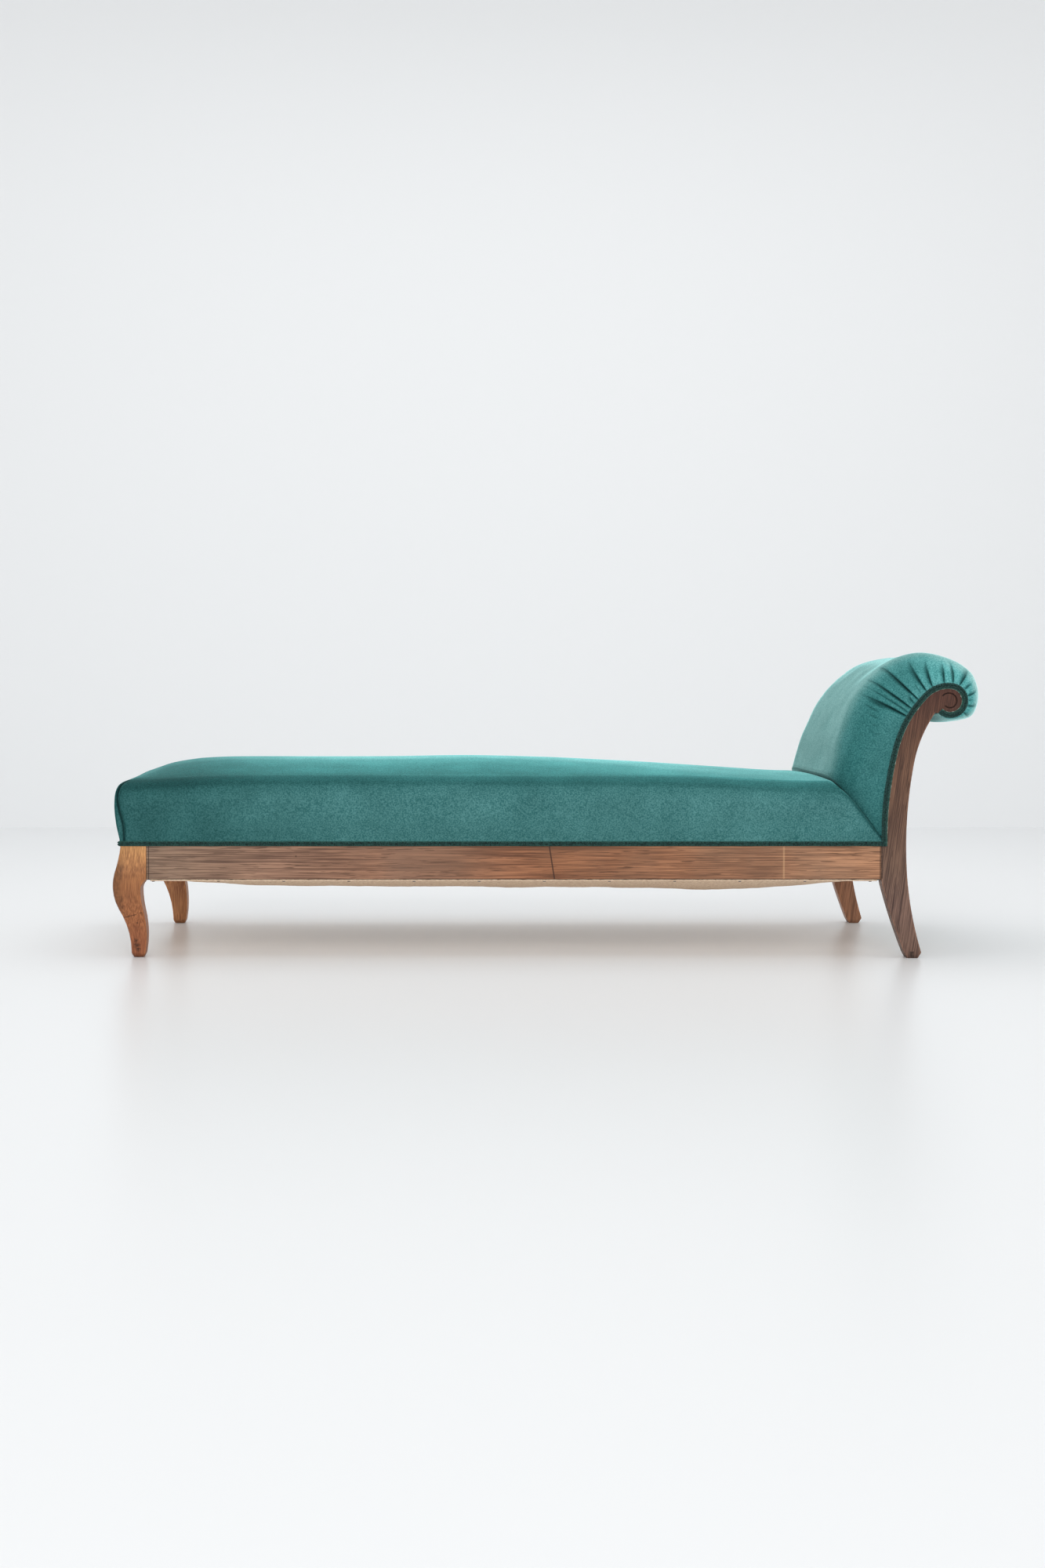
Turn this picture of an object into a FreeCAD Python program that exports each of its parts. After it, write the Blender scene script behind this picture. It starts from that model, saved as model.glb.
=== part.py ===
import FreeCAD, Part
import math
import os

# Fainting couch: walnut frame, sprung seat, scrolled headrest. Millimetres.
# +X runs toward the head, +Y across, +Z up; the floor is Z = 0 and the origin lies under the middle.

# Frame
half_width = 335.0        # outer face of the head stiles
stile_thick = 35.0
rail_outer = 333.5        # outer face of the side rails, a little behind legs and stiles
rail_thick = 28.0
rail_bottom = 172.0
rail_top = 262.0
show_top = 244.0          # bare wood shows below this line
foot_out = -936.0         # outer face of the foot leg blocks
block_length = 57.5
block_depth = 45.0
stile_front = 718.0
head_rail_front = 740.5
tenon_thick = 12.0
tenon_margin = 15.0       # shoulder above and below a rail's tenon
tenon_length = 30.0
end_tenon_in_leg = 26.0
end_tenon_in_stile = 22.0
block_proud = 1.5         # the leg blocks stand this far outside the end rail
brace_thick = 24.0
back_rail_wide = 58.0     # tuck rail and upper back rail, set behind the stiles' front edges
back_rail_thick = 22.0
back_rail_set = 5.4
back_peg_wide = 38.0
back_peg_thick = 10.0
back_peg_length = 20.0
scroll_bar_radius = 34.0
scroll_peg_wide = 34.0
corner_block_reach = 80.0
corner_block_z = 190.0
corner_block_high = 42.0
screw_length = 52.0
screw_bite = 16.0         # the tip goes this far into the rail
screw_z = 211.0

# Head stile: an arc is (radius, turn in degrees, to the right of travel)
front_start = (stile_front, 263.5)
front_arcs = [(790.0, 14.3), (257.7, 30.9), (71.9, 53.5), (38.0, 72.2), (38.0, 72.2), (38.0, 70.5)]
sabre_front_start = (stile_front, 185.0)
sabre_front_arcs = [(120.0, -15.0), (1300.0, -6.6)]
sabre_back_start = (806.8, 12.0)
sabre_back_heading = -17.04
sabre_back_arcs = [(762.7, 13.9)]
upper_back_arcs = [(970.8, 13.6), (287.0, 24.2)]
foot_front = 775.5
foot_back = 798.8
volute_start = (850.6, 571.0)
volute_heading = 45.0
volute_arcs = [(18.0, 90.0), (16.0, 90.0), (14.0, 90.0)]
groove_deep = 1.8

# Foot leg, sawn once along the couch and once across it
knee_start_z = 243.0
knee_long_heading = 185.57
knee_long_arcs = [(267.7, 11.34), (116.4, -44.9), (199.6, 28.5)]
calf_long_arcs = [(230.8, -12.1), (250.4, 21.9)]
knee_across_heading = 183.34
knee_across_arcs = [(440.3, 6.92), (185.4, -27.44), (312.0, 17.54)]
calf_across_arcs = [(385.0, -7.3), (417.0, 13.2)]
calf_in_long = 11.6
calf_in_across = 8.0
calf_top_z = 151.0
leg_heights = [8.5, 30, 52, 72, 90, 106, 122, 137, 151, 157, 164, 172, 184, 198, 212, 228, 243]
leg_corner_radius = 8.0
foot_chamfer = 4.0

# Coverings
cloth = 2.5
cover_bottom = 246.0
hem_top = 256.0           # the cloth lies flat on the rail up to here, under the gimp
seat_roll_z = 384.0       # top edge of the long sides
seat_crowns = [(-965, 394), (-905, 404), (-840, 415.5), (-740, 424), (-209, 430), (-50, 428),
               (150, 419), (600, 389.5), (720, 388)]
crease_lean = 37.3        # the seam between seat and headrest, degrees from upright
pad_base = 164.0
pad_full = [110.0, 107.0, 97.0, 77.0, 63.0, 60.0, 58.0, 52.0, 45.0, 17.0, 10.0, 4.0]
pad_first_turn = 10.5
pad_shares = [-1.0, -0.985, -0.94, -0.85, -0.68, -0.4, 0.4, 0.68, 0.85, 0.94, 0.985, 1.0]
gimp_wide = 11.0
gimp_thick = 3.0
stile_gimp_wide = 13.6
hessian_thick = 1.5

# Springing
spring_rows = (-205.0, 0.0, 205.0)
spring_columns = 7
spring_first_x = -780.0
spring_last_x = 560.0
spring_turns = 3
spring_steps = 6
spring_radius = 44.0
spring_waist = 30.0
spring_wire = 4.0
spring_top = 330.0
webbing_wide = 50.0
end_sag = 0.4
webbing_thick = 2.0
cavity_top = 335.0
twine_size = 2.4
hessian_sags = [(-930, end_sag), (-906, end_sag), (-800, 24), (-650, 38), (-430, 42), (250, 45),
                (400, 48), (520, 43), (630, 28), (740.5, end_sag), (764.5, end_sag)]
tack_radius = 3.2
tack_high = 1.4


def point(xz, y=0.0):
    return FreeCAD.Vector(xz[0], y, xz[1])


def box(x0, x1, y0, y1, z0, z1):
    return Part.makeBox(x1 - x0, y1 - y0, z1 - z0, FreeCAD.Vector(x0, y0, z0))


def across(shape):
    """The same piece on the far side of the couch."""
    return shape.mirror(FreeCAD.Vector(0, 0, 0), FreeCAD.Vector(0, 1, 0))


def arc_end(start, heading, radius, turn):
    """End of an arc that leaves start at heading, which is 0 straight up and grows toward +X."""
    side = math.copysign(1.0, turn)
    first = math.radians(heading)
    last = math.radians(heading + turn)
    x = start[0] + side * radius * (math.cos(first) - math.cos(last))
    z = start[1] + side * radius * (math.sin(last) - math.sin(first))
    return (x, z)


def stations(start, heading, arcs):
    """Point and heading at the start of a line of tangent arcs, then at each arc's middle and end."""
    found = [(start, heading)]
    for radius, turn in arcs:
        for share in (0.5, 1.0):
            found.append((arc_end(start, heading, radius, share * turn), heading + share * turn))
        start = found[-1][0]
        heading += turn
    return found


def beside(station, distance):
    """Point at a distance to the left of the way a station heads."""
    (x, z), heading = station
    angle = math.radians(heading)
    return (x - distance * math.cos(angle), z + distance * math.sin(angle))


def arcs_through(points, y=0.0):
    edges = []
    for i in range(0, len(points) - 2, 2):
        a, b, c = points[i:i + 3]
        edges.append(Part.Arc(point(a, y), point(b, y), point(c, y)).toShape())
    return edges


def lines_through(points, y=0.0):
    return [Part.makeLine(point(a, y), point(b, y)) for a, b in zip(points, points[1:])]


def closed_wire(edges):
    return Part.Wire(Part.__sortEdges__(edges))


def plank(edges, y0, y1):
    """A flat outline in the XZ plane sawn from a plank that lies between y0 and y1."""
    face = Part.Face(closed_wire(edges))
    face.translate(FreeCAD.Vector(0, y0, 0))
    return face.extrude(FreeCAD.Vector(0, y1 - y0, 0))


def band(line, near_side, far_side, y0, y1):
    """A strip between two offsets of a line of stations, given as distances to its left."""
    one = [beside(s, near_side) for s in line]
    two = [beside(s, far_side) for s in line]
    ends = lines_through([one[0], two[0]]) + lines_through([one[-1], two[-1]])
    return plank(arcs_through(one) + arcs_through(two) + ends, y0, y1)


def along_arcs(points, steps):
    """Points on a line of arcs, each arc given by its start, a point on it and its end."""
    line = [FreeCAD.Vector(points[0][0], points[0][1], 0)]
    for i in range(0, len(points) - 2, 2):
        a, b, c = [FreeCAD.Vector(x, y, 0) for x, y in points[i:i + 3]]
        line += Part.Arc(a, b, c).toShape().discretize(steps + 1)[1:]
    return [(v.x, v.y) for v in line]


def skinned(rings):
    """Solid in flat facets through a row of rings, each a list of the same number of points."""
    faces = []
    for one, two in zip(rings, rings[1:]):
        middle = sum(one + two, FreeCAD.Vector()) * (0.5 / len(one))
        for k in range(len(one)):
            a, b = one[k - 1], one[k]
            c, d = two[k], two[k - 1]
            flat = abs((b - a).cross(d - a).dot(c - a)) < 0.01
            outward = ((a + c) / 2 - middle).Length > ((b + d) / 2 - middle).Length
            if flat:
                facets = [[a, b, c, d]]
            elif outward:
                facets = [[a, b, c], [a, c, d]]
            else:
                facets = [[a, b, d], [b, c, d]]
            faces += [Part.Face(Part.makePolygon(facet + facet[:1])) for facet in facets]
    faces += [Part.Face(Part.makePolygon(ring + ring[:1])) for ring in (rings[0], rings[-1])]
    shell = Part.Shell(faces)
    shell.sewShape()
    solid = Part.Solid(shell)
    if solid.Volume < 0:
        solid.reverse()
    return solid


front_line = stations(front_start, 0.0, front_arcs)
sabre_back = stations(sabre_back_start, sabre_back_heading, sabre_back_arcs)
upper_back = stations(sabre_back[-1][0], sabre_back[-1][1], upper_back_arcs)


# Frame members

def tenon_z():
    return rail_bottom + tenon_margin, rail_top - tenon_margin


def side_tenons():
    """Both tenons of the near side rail, one in the leg block and one in the stile."""
    middle = -rail_outer + rail_thick / 2
    z0, z1 = tenon_z()
    y0, y1 = middle - tenon_thick / 2, middle + tenon_thick / 2
    block_face = foot_out + block_length
    at_leg = box(block_face - tenon_length, block_face, y0, y1, z0, z1)
    at_stile = box(stile_front, stile_front + tenon_length, y0, y1, z0, z1)
    return at_leg, at_stile


def near_seat_rail():
    """A plain plank, its outer lower edge eased, with tenons for the leg block and the stile."""
    body = box(foot_out + block_length, stile_front, -rail_outer, rail_thick - rail_outer,
               rail_bottom, rail_top)
    low_edge = [e for e in body.Edges
                if e.CenterOfMass.y < -rail_outer + 0.1 and e.CenterOfMass.z < rail_bottom + 0.1]
    body = body.makeChamfer(1.5, low_edge)
    at_leg, at_stile = side_tenons()
    return body.fuse([at_leg, at_stile]).removeSplitter().cut(near_block_screws())


def end_rail(front, reach, tenon_reach):
    """A rail across the couch with a tenon on each end."""
    z0, z1 = tenon_z()
    middle = front + rail_thick / 2
    body = box(front, front + rail_thick, -reach, reach, rail_bottom, rail_top)
    tenon = box(middle - tenon_thick / 2, middle + tenon_thick / 2, -tenon_reach, tenon_reach, z0, z1)
    screws = near_block_screws()
    return body.fuse(tenon).removeSplitter().cut(screws + [across(one) for one in screws])


def foot_end_rail():
    reach = half_width - block_depth
    return end_rail(foot_out + block_proud, reach, reach + end_tenon_in_leg)


def head_end_rail():
    reach = half_width - stile_thick
    return end_rail(head_rail_front, reach, reach + end_tenon_in_stile)


def arcs_at(start, heading, arcs, z):
    """Where a line of tangent arcs that runs down from start passes a height."""
    place = start[0]
    for radius, turn in arcs:
        end = arc_end(start, heading, radius, turn)
        if z <= start[1]:
            bent = math.copysign(radius, turn)
            first = math.radians(heading)
            reach = min((z - start[1]) / bent, (end[1] - start[1]) / bent, key=abs)
            last = math.pi - math.asin(math.sin(first) + reach)
            place = start[0] + bent * (math.cos(first) - math.cos(last))
        start = end
        heading += turn
    return place


def sawn_pair(outer, block_width, heading, knee_arcs, calf_in, calf_arcs, z):
    """Outer and inner limit of the leg at a height, in one of the two directions it is sawn in."""
    knee = arcs_at((outer, knee_start_z), heading, knee_arcs, min(z, knee_start_z))
    inner = outer + block_width
    if z < calf_top_z:
        return knee, arcs_at((inner - calf_in, calf_top_z), 180.0, calf_arcs, z)
    hollow = max(rail_bottom - z, 0.0) / (rail_bottom - calf_top_z)
    return knee, inner - calf_in * math.sin(math.pi / 2 * hollow)


def leg_section(z, chamfer=0.0):
    """Level section of the near leg: four sawn sides, the outer corner rounded off."""
    x0, x1 = sawn_pair(foot_out, block_length, knee_long_heading, knee_long_arcs,
                       calf_in_long, calf_long_arcs, z)
    y0, y1 = sawn_pair(-half_width, block_depth, knee_across_heading, knee_across_arcs,
                       calf_in_across, calf_across_arcs, z)
    x0, x1, y0, y1 = x0 + chamfer, x1 - chamfer, y0 + chamfer, y1 - chamfer
    r = leg_corner_radius
    mid = r * (1 - math.sqrt(0.5))
    corners = [(x0, y0 + r), (x0 + mid, y0 + mid), (x0 + r, y0), (x1, y0), (x1, y1), (x0, y1)]
    return Part.makePolygon([FreeCAD.Vector(x, y, z) for x, y in corners + corners[:1]])


def near_foot_leg():
    """A cabriole leg sawn from one square piece in two directions, the block left square above it."""
    sections = [leg_section(0.0, foot_chamfer)] + [leg_section(z) for z in leg_heights]
    leg = Part.makeLoft(sections, True, True)
    block = box(foot_out, foot_out + block_length, -half_width, -half_width + block_depth,
                knee_start_z, show_top)
    top = box(foot_out + block_proud, foot_out + block_length, -rail_outer, -half_width + block_depth,
              show_top, rail_top)
    z0, z1 = tenon_z()
    end_middle = foot_out + block_proud + rail_thick / 2
    inner = -half_width + block_depth
    end_mortise = box(end_middle - tenon_thick / 2, end_middle + tenon_thick / 2,
                      inner - end_tenon_in_leg, inner, z0, z1)
    return leg.fuse([block, top]).cut([side_tenons()[0], end_mortise])


def volute_groove():
    """The cut line in the scroll: a spiral of three quarter turns, V-shaped in section."""
    start, heading = volute_start, volute_heading
    pieces = []
    for radius, turn in volute_arcs:
        centre = beside((start, heading), -radius)
        out = FreeCAD.Vector(start[0] - centre[0], 0, start[1] - centre[1]).normalize()
        way = FreeCAD.Vector(0, 1, 0)
        at = point(start, -half_width)
        corners = [at + out * groove_deep, at + way * groove_deep, at - out * groove_deep,
                   at - way * groove_deep, at + out * groove_deep]
        cutter = Part.Face(Part.makePolygon(corners)).revolve(point(centre, -half_width), way, turn)
        pieces.append(cutter)
        start = arc_end(start, heading, radius, turn)
        heading += turn
    return pieces


def cross_member(turn_share, arc_index, wide, thick, tenon_wide, tenon):
    """Outlines of a back rail and its tenon, set square to the stile's front edge."""
    first = front_line[2 * arc_index]
    radius, turn = front_arcs[arc_index]
    middle = (arc_end(first[0], first[1], radius, turn_share * turn), first[1] + turn_share * turn)
    travel = math.radians(middle[1])

    def corner(depth, along):
        x, z = beside(middle, -depth)
        return (x + along * math.sin(travel), z + along * math.cos(travel))

    def outline(d0, d1, half):
        return [corner(d0, -half), corner(d1, -half), corner(d1, half), corner(d0, half),
                corner(d0, -half)]

    centre = back_rail_set + thick / 2
    body = lines_through(outline(back_rail_set, back_rail_set + thick, wide / 2))
    peg = lines_through(outline(centre - tenon / 2, centre + tenon / 2, tenon_wide / 2))
    return body, peg


def back_rail(turn_share, arc_index):
    body, peg = cross_member(turn_share, arc_index, back_rail_wide, back_rail_thick,
                             back_peg_wide, back_peg_thick)
    inner = half_width - stile_thick
    reach = inner + back_peg_length
    return plank(body, -inner, inner).fuse(plank(peg, -reach, reach)).removeSplitter()


def tuck_rail():
    return back_rail(0.22, 0)


def upper_back_rail():
    return back_rail(0.22, 1)


def scroll_centre():
    return beside(front_line[6], -front_arcs[3][0])


def scroll_rail():
    """Round bar between the scrolls, with a flat tenon in each stile."""
    inner = half_width - stile_thick
    way = FreeCAD.Vector(0, 1, 0)
    centre = scroll_centre()
    bar = Part.makeCylinder(scroll_bar_radius, 2 * inner, point(centre, -inner), way)
    reach = inner + end_tenon_in_stile
    peg = box(centre[0] - scroll_peg_wide / 2, centre[0] + scroll_peg_wide / 2, -reach, reach,
              centre[1] - tenon_thick / 2, centre[1] + tenon_thick / 2)
    return bar.fuse(peg).removeSplitter()


def near_head_stile(rails):
    """One plank from floor to scroll: sabre foot, straight part at the rail, curved back, volute."""
    sabre_front = stations(sabre_front_start, 180.0, sabre_front_arcs)
    edges = arcs_through([s[0] for s in front_line])
    edges += lines_through([front_start, sabre_front_start])
    edges += arcs_through([s[0] for s in sabre_front])
    edges += lines_through([sabre_front[-1][0], (foot_front, 0.0), (foot_back, 0.0),
                            sabre_back_start])
    edges += arcs_through([s[0] for s in sabre_back])
    edges += arcs_through([s[0] for s in upper_back])
    edges += lines_through([upper_back[-1][0], front_line[-1][0]])
    stile = plank(edges, -half_width, -half_width + stile_thick)
    worn = [e for e in stile.Edges if e.BoundBox.YLength < 0.01 and e.CenterOfMass.y < -half_width + 1
            and e.BoundBox.ZLength > 40 and e.CenterOfMass.x > stile_front + 40
            and e.CenterOfMass.z < 520]
    stile = stile.makeChamfer(1.5, worn)
    return stile.cut(rails + [side_tenons()[1]] + volute_groove())


def cross_brace():
    """Board between the long rails that keeps the webbing from drawing them together."""
    inner = rail_outer - rail_thick
    middle = (spring_first_x + spring_last_x) / 2 + (spring_last_x - spring_first_x) / 12
    return box(middle - brace_thick / 2, middle + brace_thick / 2, -inner, inner,
               rail_bottom + 4, rail_top - 30)


def corner_blocks():
    """Glue blocks across the four inner corners, notched round legs and stiles."""
    inner = rail_outer - rail_thick
    block_face = foot_out + block_length
    foot_rail_face = foot_out + block_proud + rail_thick
    reach = corner_block_reach
    leg_face = half_width - block_depth
    stile_face = half_width - stile_thick
    foot = [(block_face, -inner), (block_face + reach, -inner), (foot_rail_face, reach - leg_face),
            (foot_rail_face, -leg_face), (block_face, -leg_face), (block_face, -inner)]
    head = [(stile_front - reach, -inner), (stile_front, -inner), (stile_front, -stile_face),
            (head_rail_front, -stile_face), (head_rail_front, reach - 2 - stile_face),
            (stile_front - reach, -inner)]
    blocks = []
    for outline in (foot, head):
        corners = [FreeCAD.Vector(x, y, corner_block_z) for x, y in outline]
        block = Part.Face(Part.makePolygon(corners)).extrude(FreeCAD.Vector(0, 0, corner_block_high))
        block = block.cut(near_block_screws())
        blocks += [block, across(block)]
    return blocks


def screw(tip, way, length):
    """Countersunk wood screw, six-sided to keep it light."""
    def ring(radius, along):
        turns = [math.radians(60 * k) for k in range(7)]
        return Part.makePolygon([FreeCAD.Vector(radius * math.cos(t), radius * math.sin(t), along)
                                 for t in turns])
    shank = Part.makeLoft([ring(0.4, 0), ring(2.0, 8), ring(2.0, length - 4), ring(4.2, length)],
                          True, True)
    shank.Placement = FreeCAD.Placement(tip, FreeCAD.Rotation(FreeCAD.Vector(0, 0, 1), way))
    return shank


def near_block_screws():
    """Two screws through each near corner block, one into the side rail and one into the end rail."""
    screws = []
    inner = rail_outer - rail_thick
    foot_rail_face = foot_out + block_proud + rail_thick
    spots = [(foot_out + block_length + 45, -inner, 0, -1), (foot_rail_face, -240.0, -1, 0),
             (stile_front - 45, -inner, 0, -1), (head_rail_front, -250.0, 1, 0)]
    for x, y, along, sideways in spots:
        way = FreeCAD.Vector(along, sideways, 0)
        tip = FreeCAD.Vector(x, y, screw_z) + way * screw_bite
        screws.append(screw(tip, way * -1, screw_length))
    return screws


# Springing

def spring_xs():
    step = (spring_last_x - spring_first_x) / (spring_columns - 1)
    return [spring_first_x + step * k for k in range(spring_columns)]


def one_spring():
    """Waisted coil of soft wire, standing on the webbing."""
    low = rail_bottom + spring_wire / 2 + 0.5
    high = spring_top - spring_wire / 2 - 0.5
    count = round(spring_turns * spring_steps)
    line = []
    for k in range(count + 1):
        share = k / count
        angle = 2 * math.pi * spring_turns * share
        radius = spring_radius - (spring_radius - spring_waist) * math.sin(math.pi * share) ** 2
        line.append(FreeCAD.Vector(radius * math.cos(angle), radius * math.sin(angle),
                                   low + (high - low) * share))
    half = spring_wire / 2
    corners = [FreeCAD.Vector(half, 0, 0), FreeCAD.Vector(0, half, 0), FreeCAD.Vector(-half, 0, 0),
               FreeCAD.Vector(0, -half, 0), FreeCAD.Vector(half, 0, 0)]
    section = Part.makePolygon(corners)
    up = FreeCAD.Vector(0, 0, 1)
    section.Placement = FreeCAD.Placement(line[0], FreeCAD.Rotation(up, line[1] - line[0]))
    mitred = 1
    return Part.makePolygon(line).makePipeShell([section], True, False, mitred)


def seat_springs():
    springs = []
    for x in spring_xs():
        for y in spring_rows:
            spring = one_spring()
            spring.translate(FreeCAD.Vector(x, y, 0))
            springs.append(spring)
    return springs


def seat_webbing():
    """Long and cross strips under the springs, drawn tight and tacked under the rails."""
    z1 = rail_bottom
    z0 = z1 - webbing_thick
    half = webbing_wide / 2
    cross = [box(x - half, x + half, -rail_outer + 7, rail_outer - 7, z0, z1) for x in spring_xs()]
    long = [box(foot_out + 9, head_rail_front + rail_thick - 7, y - half, y + half,
                z0 - webbing_thick, z0) for y in spring_rows]
    return cross, long


def cord_between(a, b, size):
    way = b - a
    cord = Part.makeBox(size, size, way.Length, FreeCAD.Vector(-size / 2, -size / 2, 0))
    cord.Placement = FreeCAD.Placement(a, FreeCAD.Rotation(FreeCAD.Vector(0, 0, 1), way))
    return cord


def lashing_twine():
    """Twine from rail to rail across the spring tops, in both directions."""
    size = twine_size
    top = spring_top + size / 2
    inner = rail_outer - rail_thick
    cords = []
    for x in spring_xs():
        line = [FreeCAD.Vector(x, y, z) for y, z in
                ((-inner + 6, rail_top - 3), (-262, top), (262, top), (inner - 6, rail_top - 3))]
        cords.append(line)
    for y in spring_rows:
        line = [FreeCAD.Vector(x, y, z) for x, z in
                ((foot_out + 35, rail_top - 3), (-850, top + size), (612, top + size),
                 (head_rail_front - 42, rail_top - 3))]
        cords.append(line)
    return [cord_between(a, b, size) for line in cords for a, b in zip(line, line[1:])]


def cavity(inset):
    """Space of the springs, a frustum from the rail tops up to the hessian over them."""
    def loop(x0, x1, half, z):
        corners = [(x0, -half), (x1, -half), (x1, half), (x0, half), (x0, -half)]
        return Part.makePolygon([FreeCAD.Vector(x, y, z) for x, y in corners])
    inner = rail_outer - rail_thick
    base = loop(foot_out + 30 + inset, 705 - inset, inner - inset, rail_top - inset)
    top = loop(-880 + inset, 640 - inset, 284 - inset, cavity_top + 3 - inset)
    return Part.makeLoft([base, top], True, True)


def spring_hessian():
    """Hessian over the lashed springs, its edges tacked on the rail tops."""
    rim = box(foot_out + 2, stile_front - 1, -rail_outer + 1, rail_outer - 1, rail_top,
              rail_top + hessian_thick)
    inside = cavity(hessian_thick)
    low = cavity(hessian_thick)
    low.translate(FreeCAD.Vector(0, 0, -hessian_thick))
    return cavity(0.0).fuse(rim).cut([inside, low]).removeSplitter()


# Seat upholstery

def seat_section(x, crown, inset):
    """Seat section across the couch: drawn-in side, firm edge roll and one long crown."""
    foot = cover_bottom - 6 * (inset > 0)
    hem = (rail_outer + cloth - inset, foot)
    side = [(hem[0], hem_top), (341.8 - inset, 302.0), (343.0 - inset, 347.0)]
    roll = [side[-1], (337.5 - inset, 371.0), (316.0 - inset, seat_roll_z - inset)]
    over = [roll[-1], (0.0, crown - inset), (-roll[-1][0], roll[-1][1])]
    right = [hem] + along_arcs(side, 3) + along_arcs(roll, 4)[1:-1]
    ring = right + along_arcs(over, 10) + [(-y, z) for y, z in reversed(right)]
    return [FreeCAD.Vector(x, y, z) for y, z in ring]


def seat_form(inset):
    """The upholstered seat: crowned along its length, ending in the foot end's roll and in the crease."""
    body = skinned([seat_section(x, z, inset) for x, z in seat_crowns])
    foot = cover_bottom - 6 * (inset > 0)
    hem_x = foot_out - 1 + inset
    face = [(hem_x, hem_top), (-946.0 + inset, 298.0), (-948.5 + inset, 342.0),
            (-941.0 + inset, 376.0 - inset), (-912.0 + inset, 398.0 - inset)]
    lean = math.tan(math.radians(crease_lean))
    high = 520.0
    base_x = stile_front - inset
    trim = arcs_through(face)
    trim += lines_through([face[-1], (-850.0, 416.0), (-850.0, high),
                           (base_x - lean * (high - front_start[1]), high), (base_x, front_start[1]),
                           (base_x, foot), (hem_x, foot), face[0]])
    return body.common(plank(trim, -half_width - 30, half_width + 30))


def seat_cover():
    """Velvet: over the seat, down to the rails outside them, and down the crease to their tops."""
    under = box(foot_out, 800, -rail_outer, rail_outer, 200, rail_top + hessian_thick)
    return seat_form(0.0).cut([seat_form(cloth), under])


def seat_stuffing():
    whole = seat_form(cloth)
    above = box(-1000, 1000, -400, 400, rail_top + hessian_thick, 600)
    return whole.common(above).cut(cavity(0.0))


# Headrest upholstery

def pad_stations():
    """Where the headrest's fullness is set: along the stile's front edge and round its scroll."""
    first = front_line[0]
    radius, turn = front_arcs[0]
    low = (arc_end(first[0], first[1], radius, pad_first_turn), pad_first_turn)
    return [low] + front_line[2:]


def pad_section(y, half, inset):
    """Section of the headrest at one place across the couch, thinning out toward both stiles."""
    fullness = max(math.sqrt(max(1 - abs(y / half) ** 4, 0.0)), 0.03)
    places = pad_stations()
    lean = math.radians(crease_lean)
    reach = (pad_base - inset) * fullness
    outer = [(front_start[0] - reach * math.sin(lean), front_start[1] + reach * math.cos(lean))]
    for place, full in zip(places, pad_full):
        outer.append(beside(place, max((full - inset) * fullness, 0.4)))
    sunk = [beside(place, -6.0) for place in reversed(places)]
    ring = along_arcs(outer, 4) + sunk + [(front_start[0] + 6.0, front_start[1]), front_start]
    return [point(xz, y) for xz in ring]


def behind_front_line():
    """Everything behind the front edges of the stiles, where the headrest can't reach."""
    edges = arcs_through([s[0] for s in front_line])
    low = front_start[1] - 40
    edges += lines_through([front_line[-1][0], (790.0, low), (stile_front, low), front_start])
    return plank(edges, -half_width - 10, half_width + 10)


def pad_form(half, inset):
    whole = skinned([pad_section(half * share, half, inset) for share in pad_shares])
    return whole.cut(behind_front_line())


def head_stuffing():
    return pad_form(half_width - cloth, cloth)


def head_cover():
    return pad_form(half_width, 0.0).cut(head_stuffing())


def head_hessian():
    inner = half_width - stile_thick
    return band(front_line, 0.0, -hessian_thick, -inner, inner)


def head_webbing():
    strips = []
    depth = hessian_thick + webbing_thick
    for y in (-200.0, 0.0, 200.0):
        strips.append(band(front_line[:7], -hessian_thick, -depth, y - 25, y + 25))
    return strips


def outside_back_cover():
    """Velvet over the back of the headrest, set between the stiles and tacked to the rails."""
    inner = half_width - stile_thick
    upper = band(upper_back, 2.0, 2.0 + cloth, -inner, inner)
    top = upper_back[0]
    hem = (top[0][0] - 0.6, rail_bottom + 4)
    tail = [beside(top, 2.0), beside(top, 2.0 + cloth), (hem[0] - 2.0 - cloth + 1.6, hem[1]),
            (hem[0] - 2.0 + 1.6, hem[1])]
    return upper.fuse(plank(lines_through(tail + tail[:1]), -inner, inner)).removeSplitter()


# Hessian bottom

def bottom_hessian():
    """Hessian tacked flat under the rails and sagging between them."""
    reach = rail_outer - 10
    inner = rail_outer - rail_thick
    top = rail_bottom - 2 * webbing_thick

    def section(x, sag):
        line = [(-reach, top)]
        for k in range(7):
            share = k / 3 - 1
            line.append((inner * share, top - sag * (1 - share ** 2)))
        line.append((reach, top))
        ring = line + [(y, z - hessian_thick) for y, z in reversed(line)]
        return [FreeCAD.Vector(x, y, z) for y, z in ring]

    whole = skinned([section(x, sag) for x, sag in hessian_sags])
    leg_face = half_width - block_depth - 2
    stile_face = half_width - stile_thick - 2
    notches = []
    for side in (-1, 1):
        for x0, x1, face in ((foot_out - 5, foot_out + block_length + 3, leg_face),
                             (stile_front - 3, 800, stile_face)):
            y0, y1 = sorted((side * face, side * 400))
            notches.append(box(x0, x1, y0, y1, 0, rail_bottom))
    return whole.cut(notches)


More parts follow.
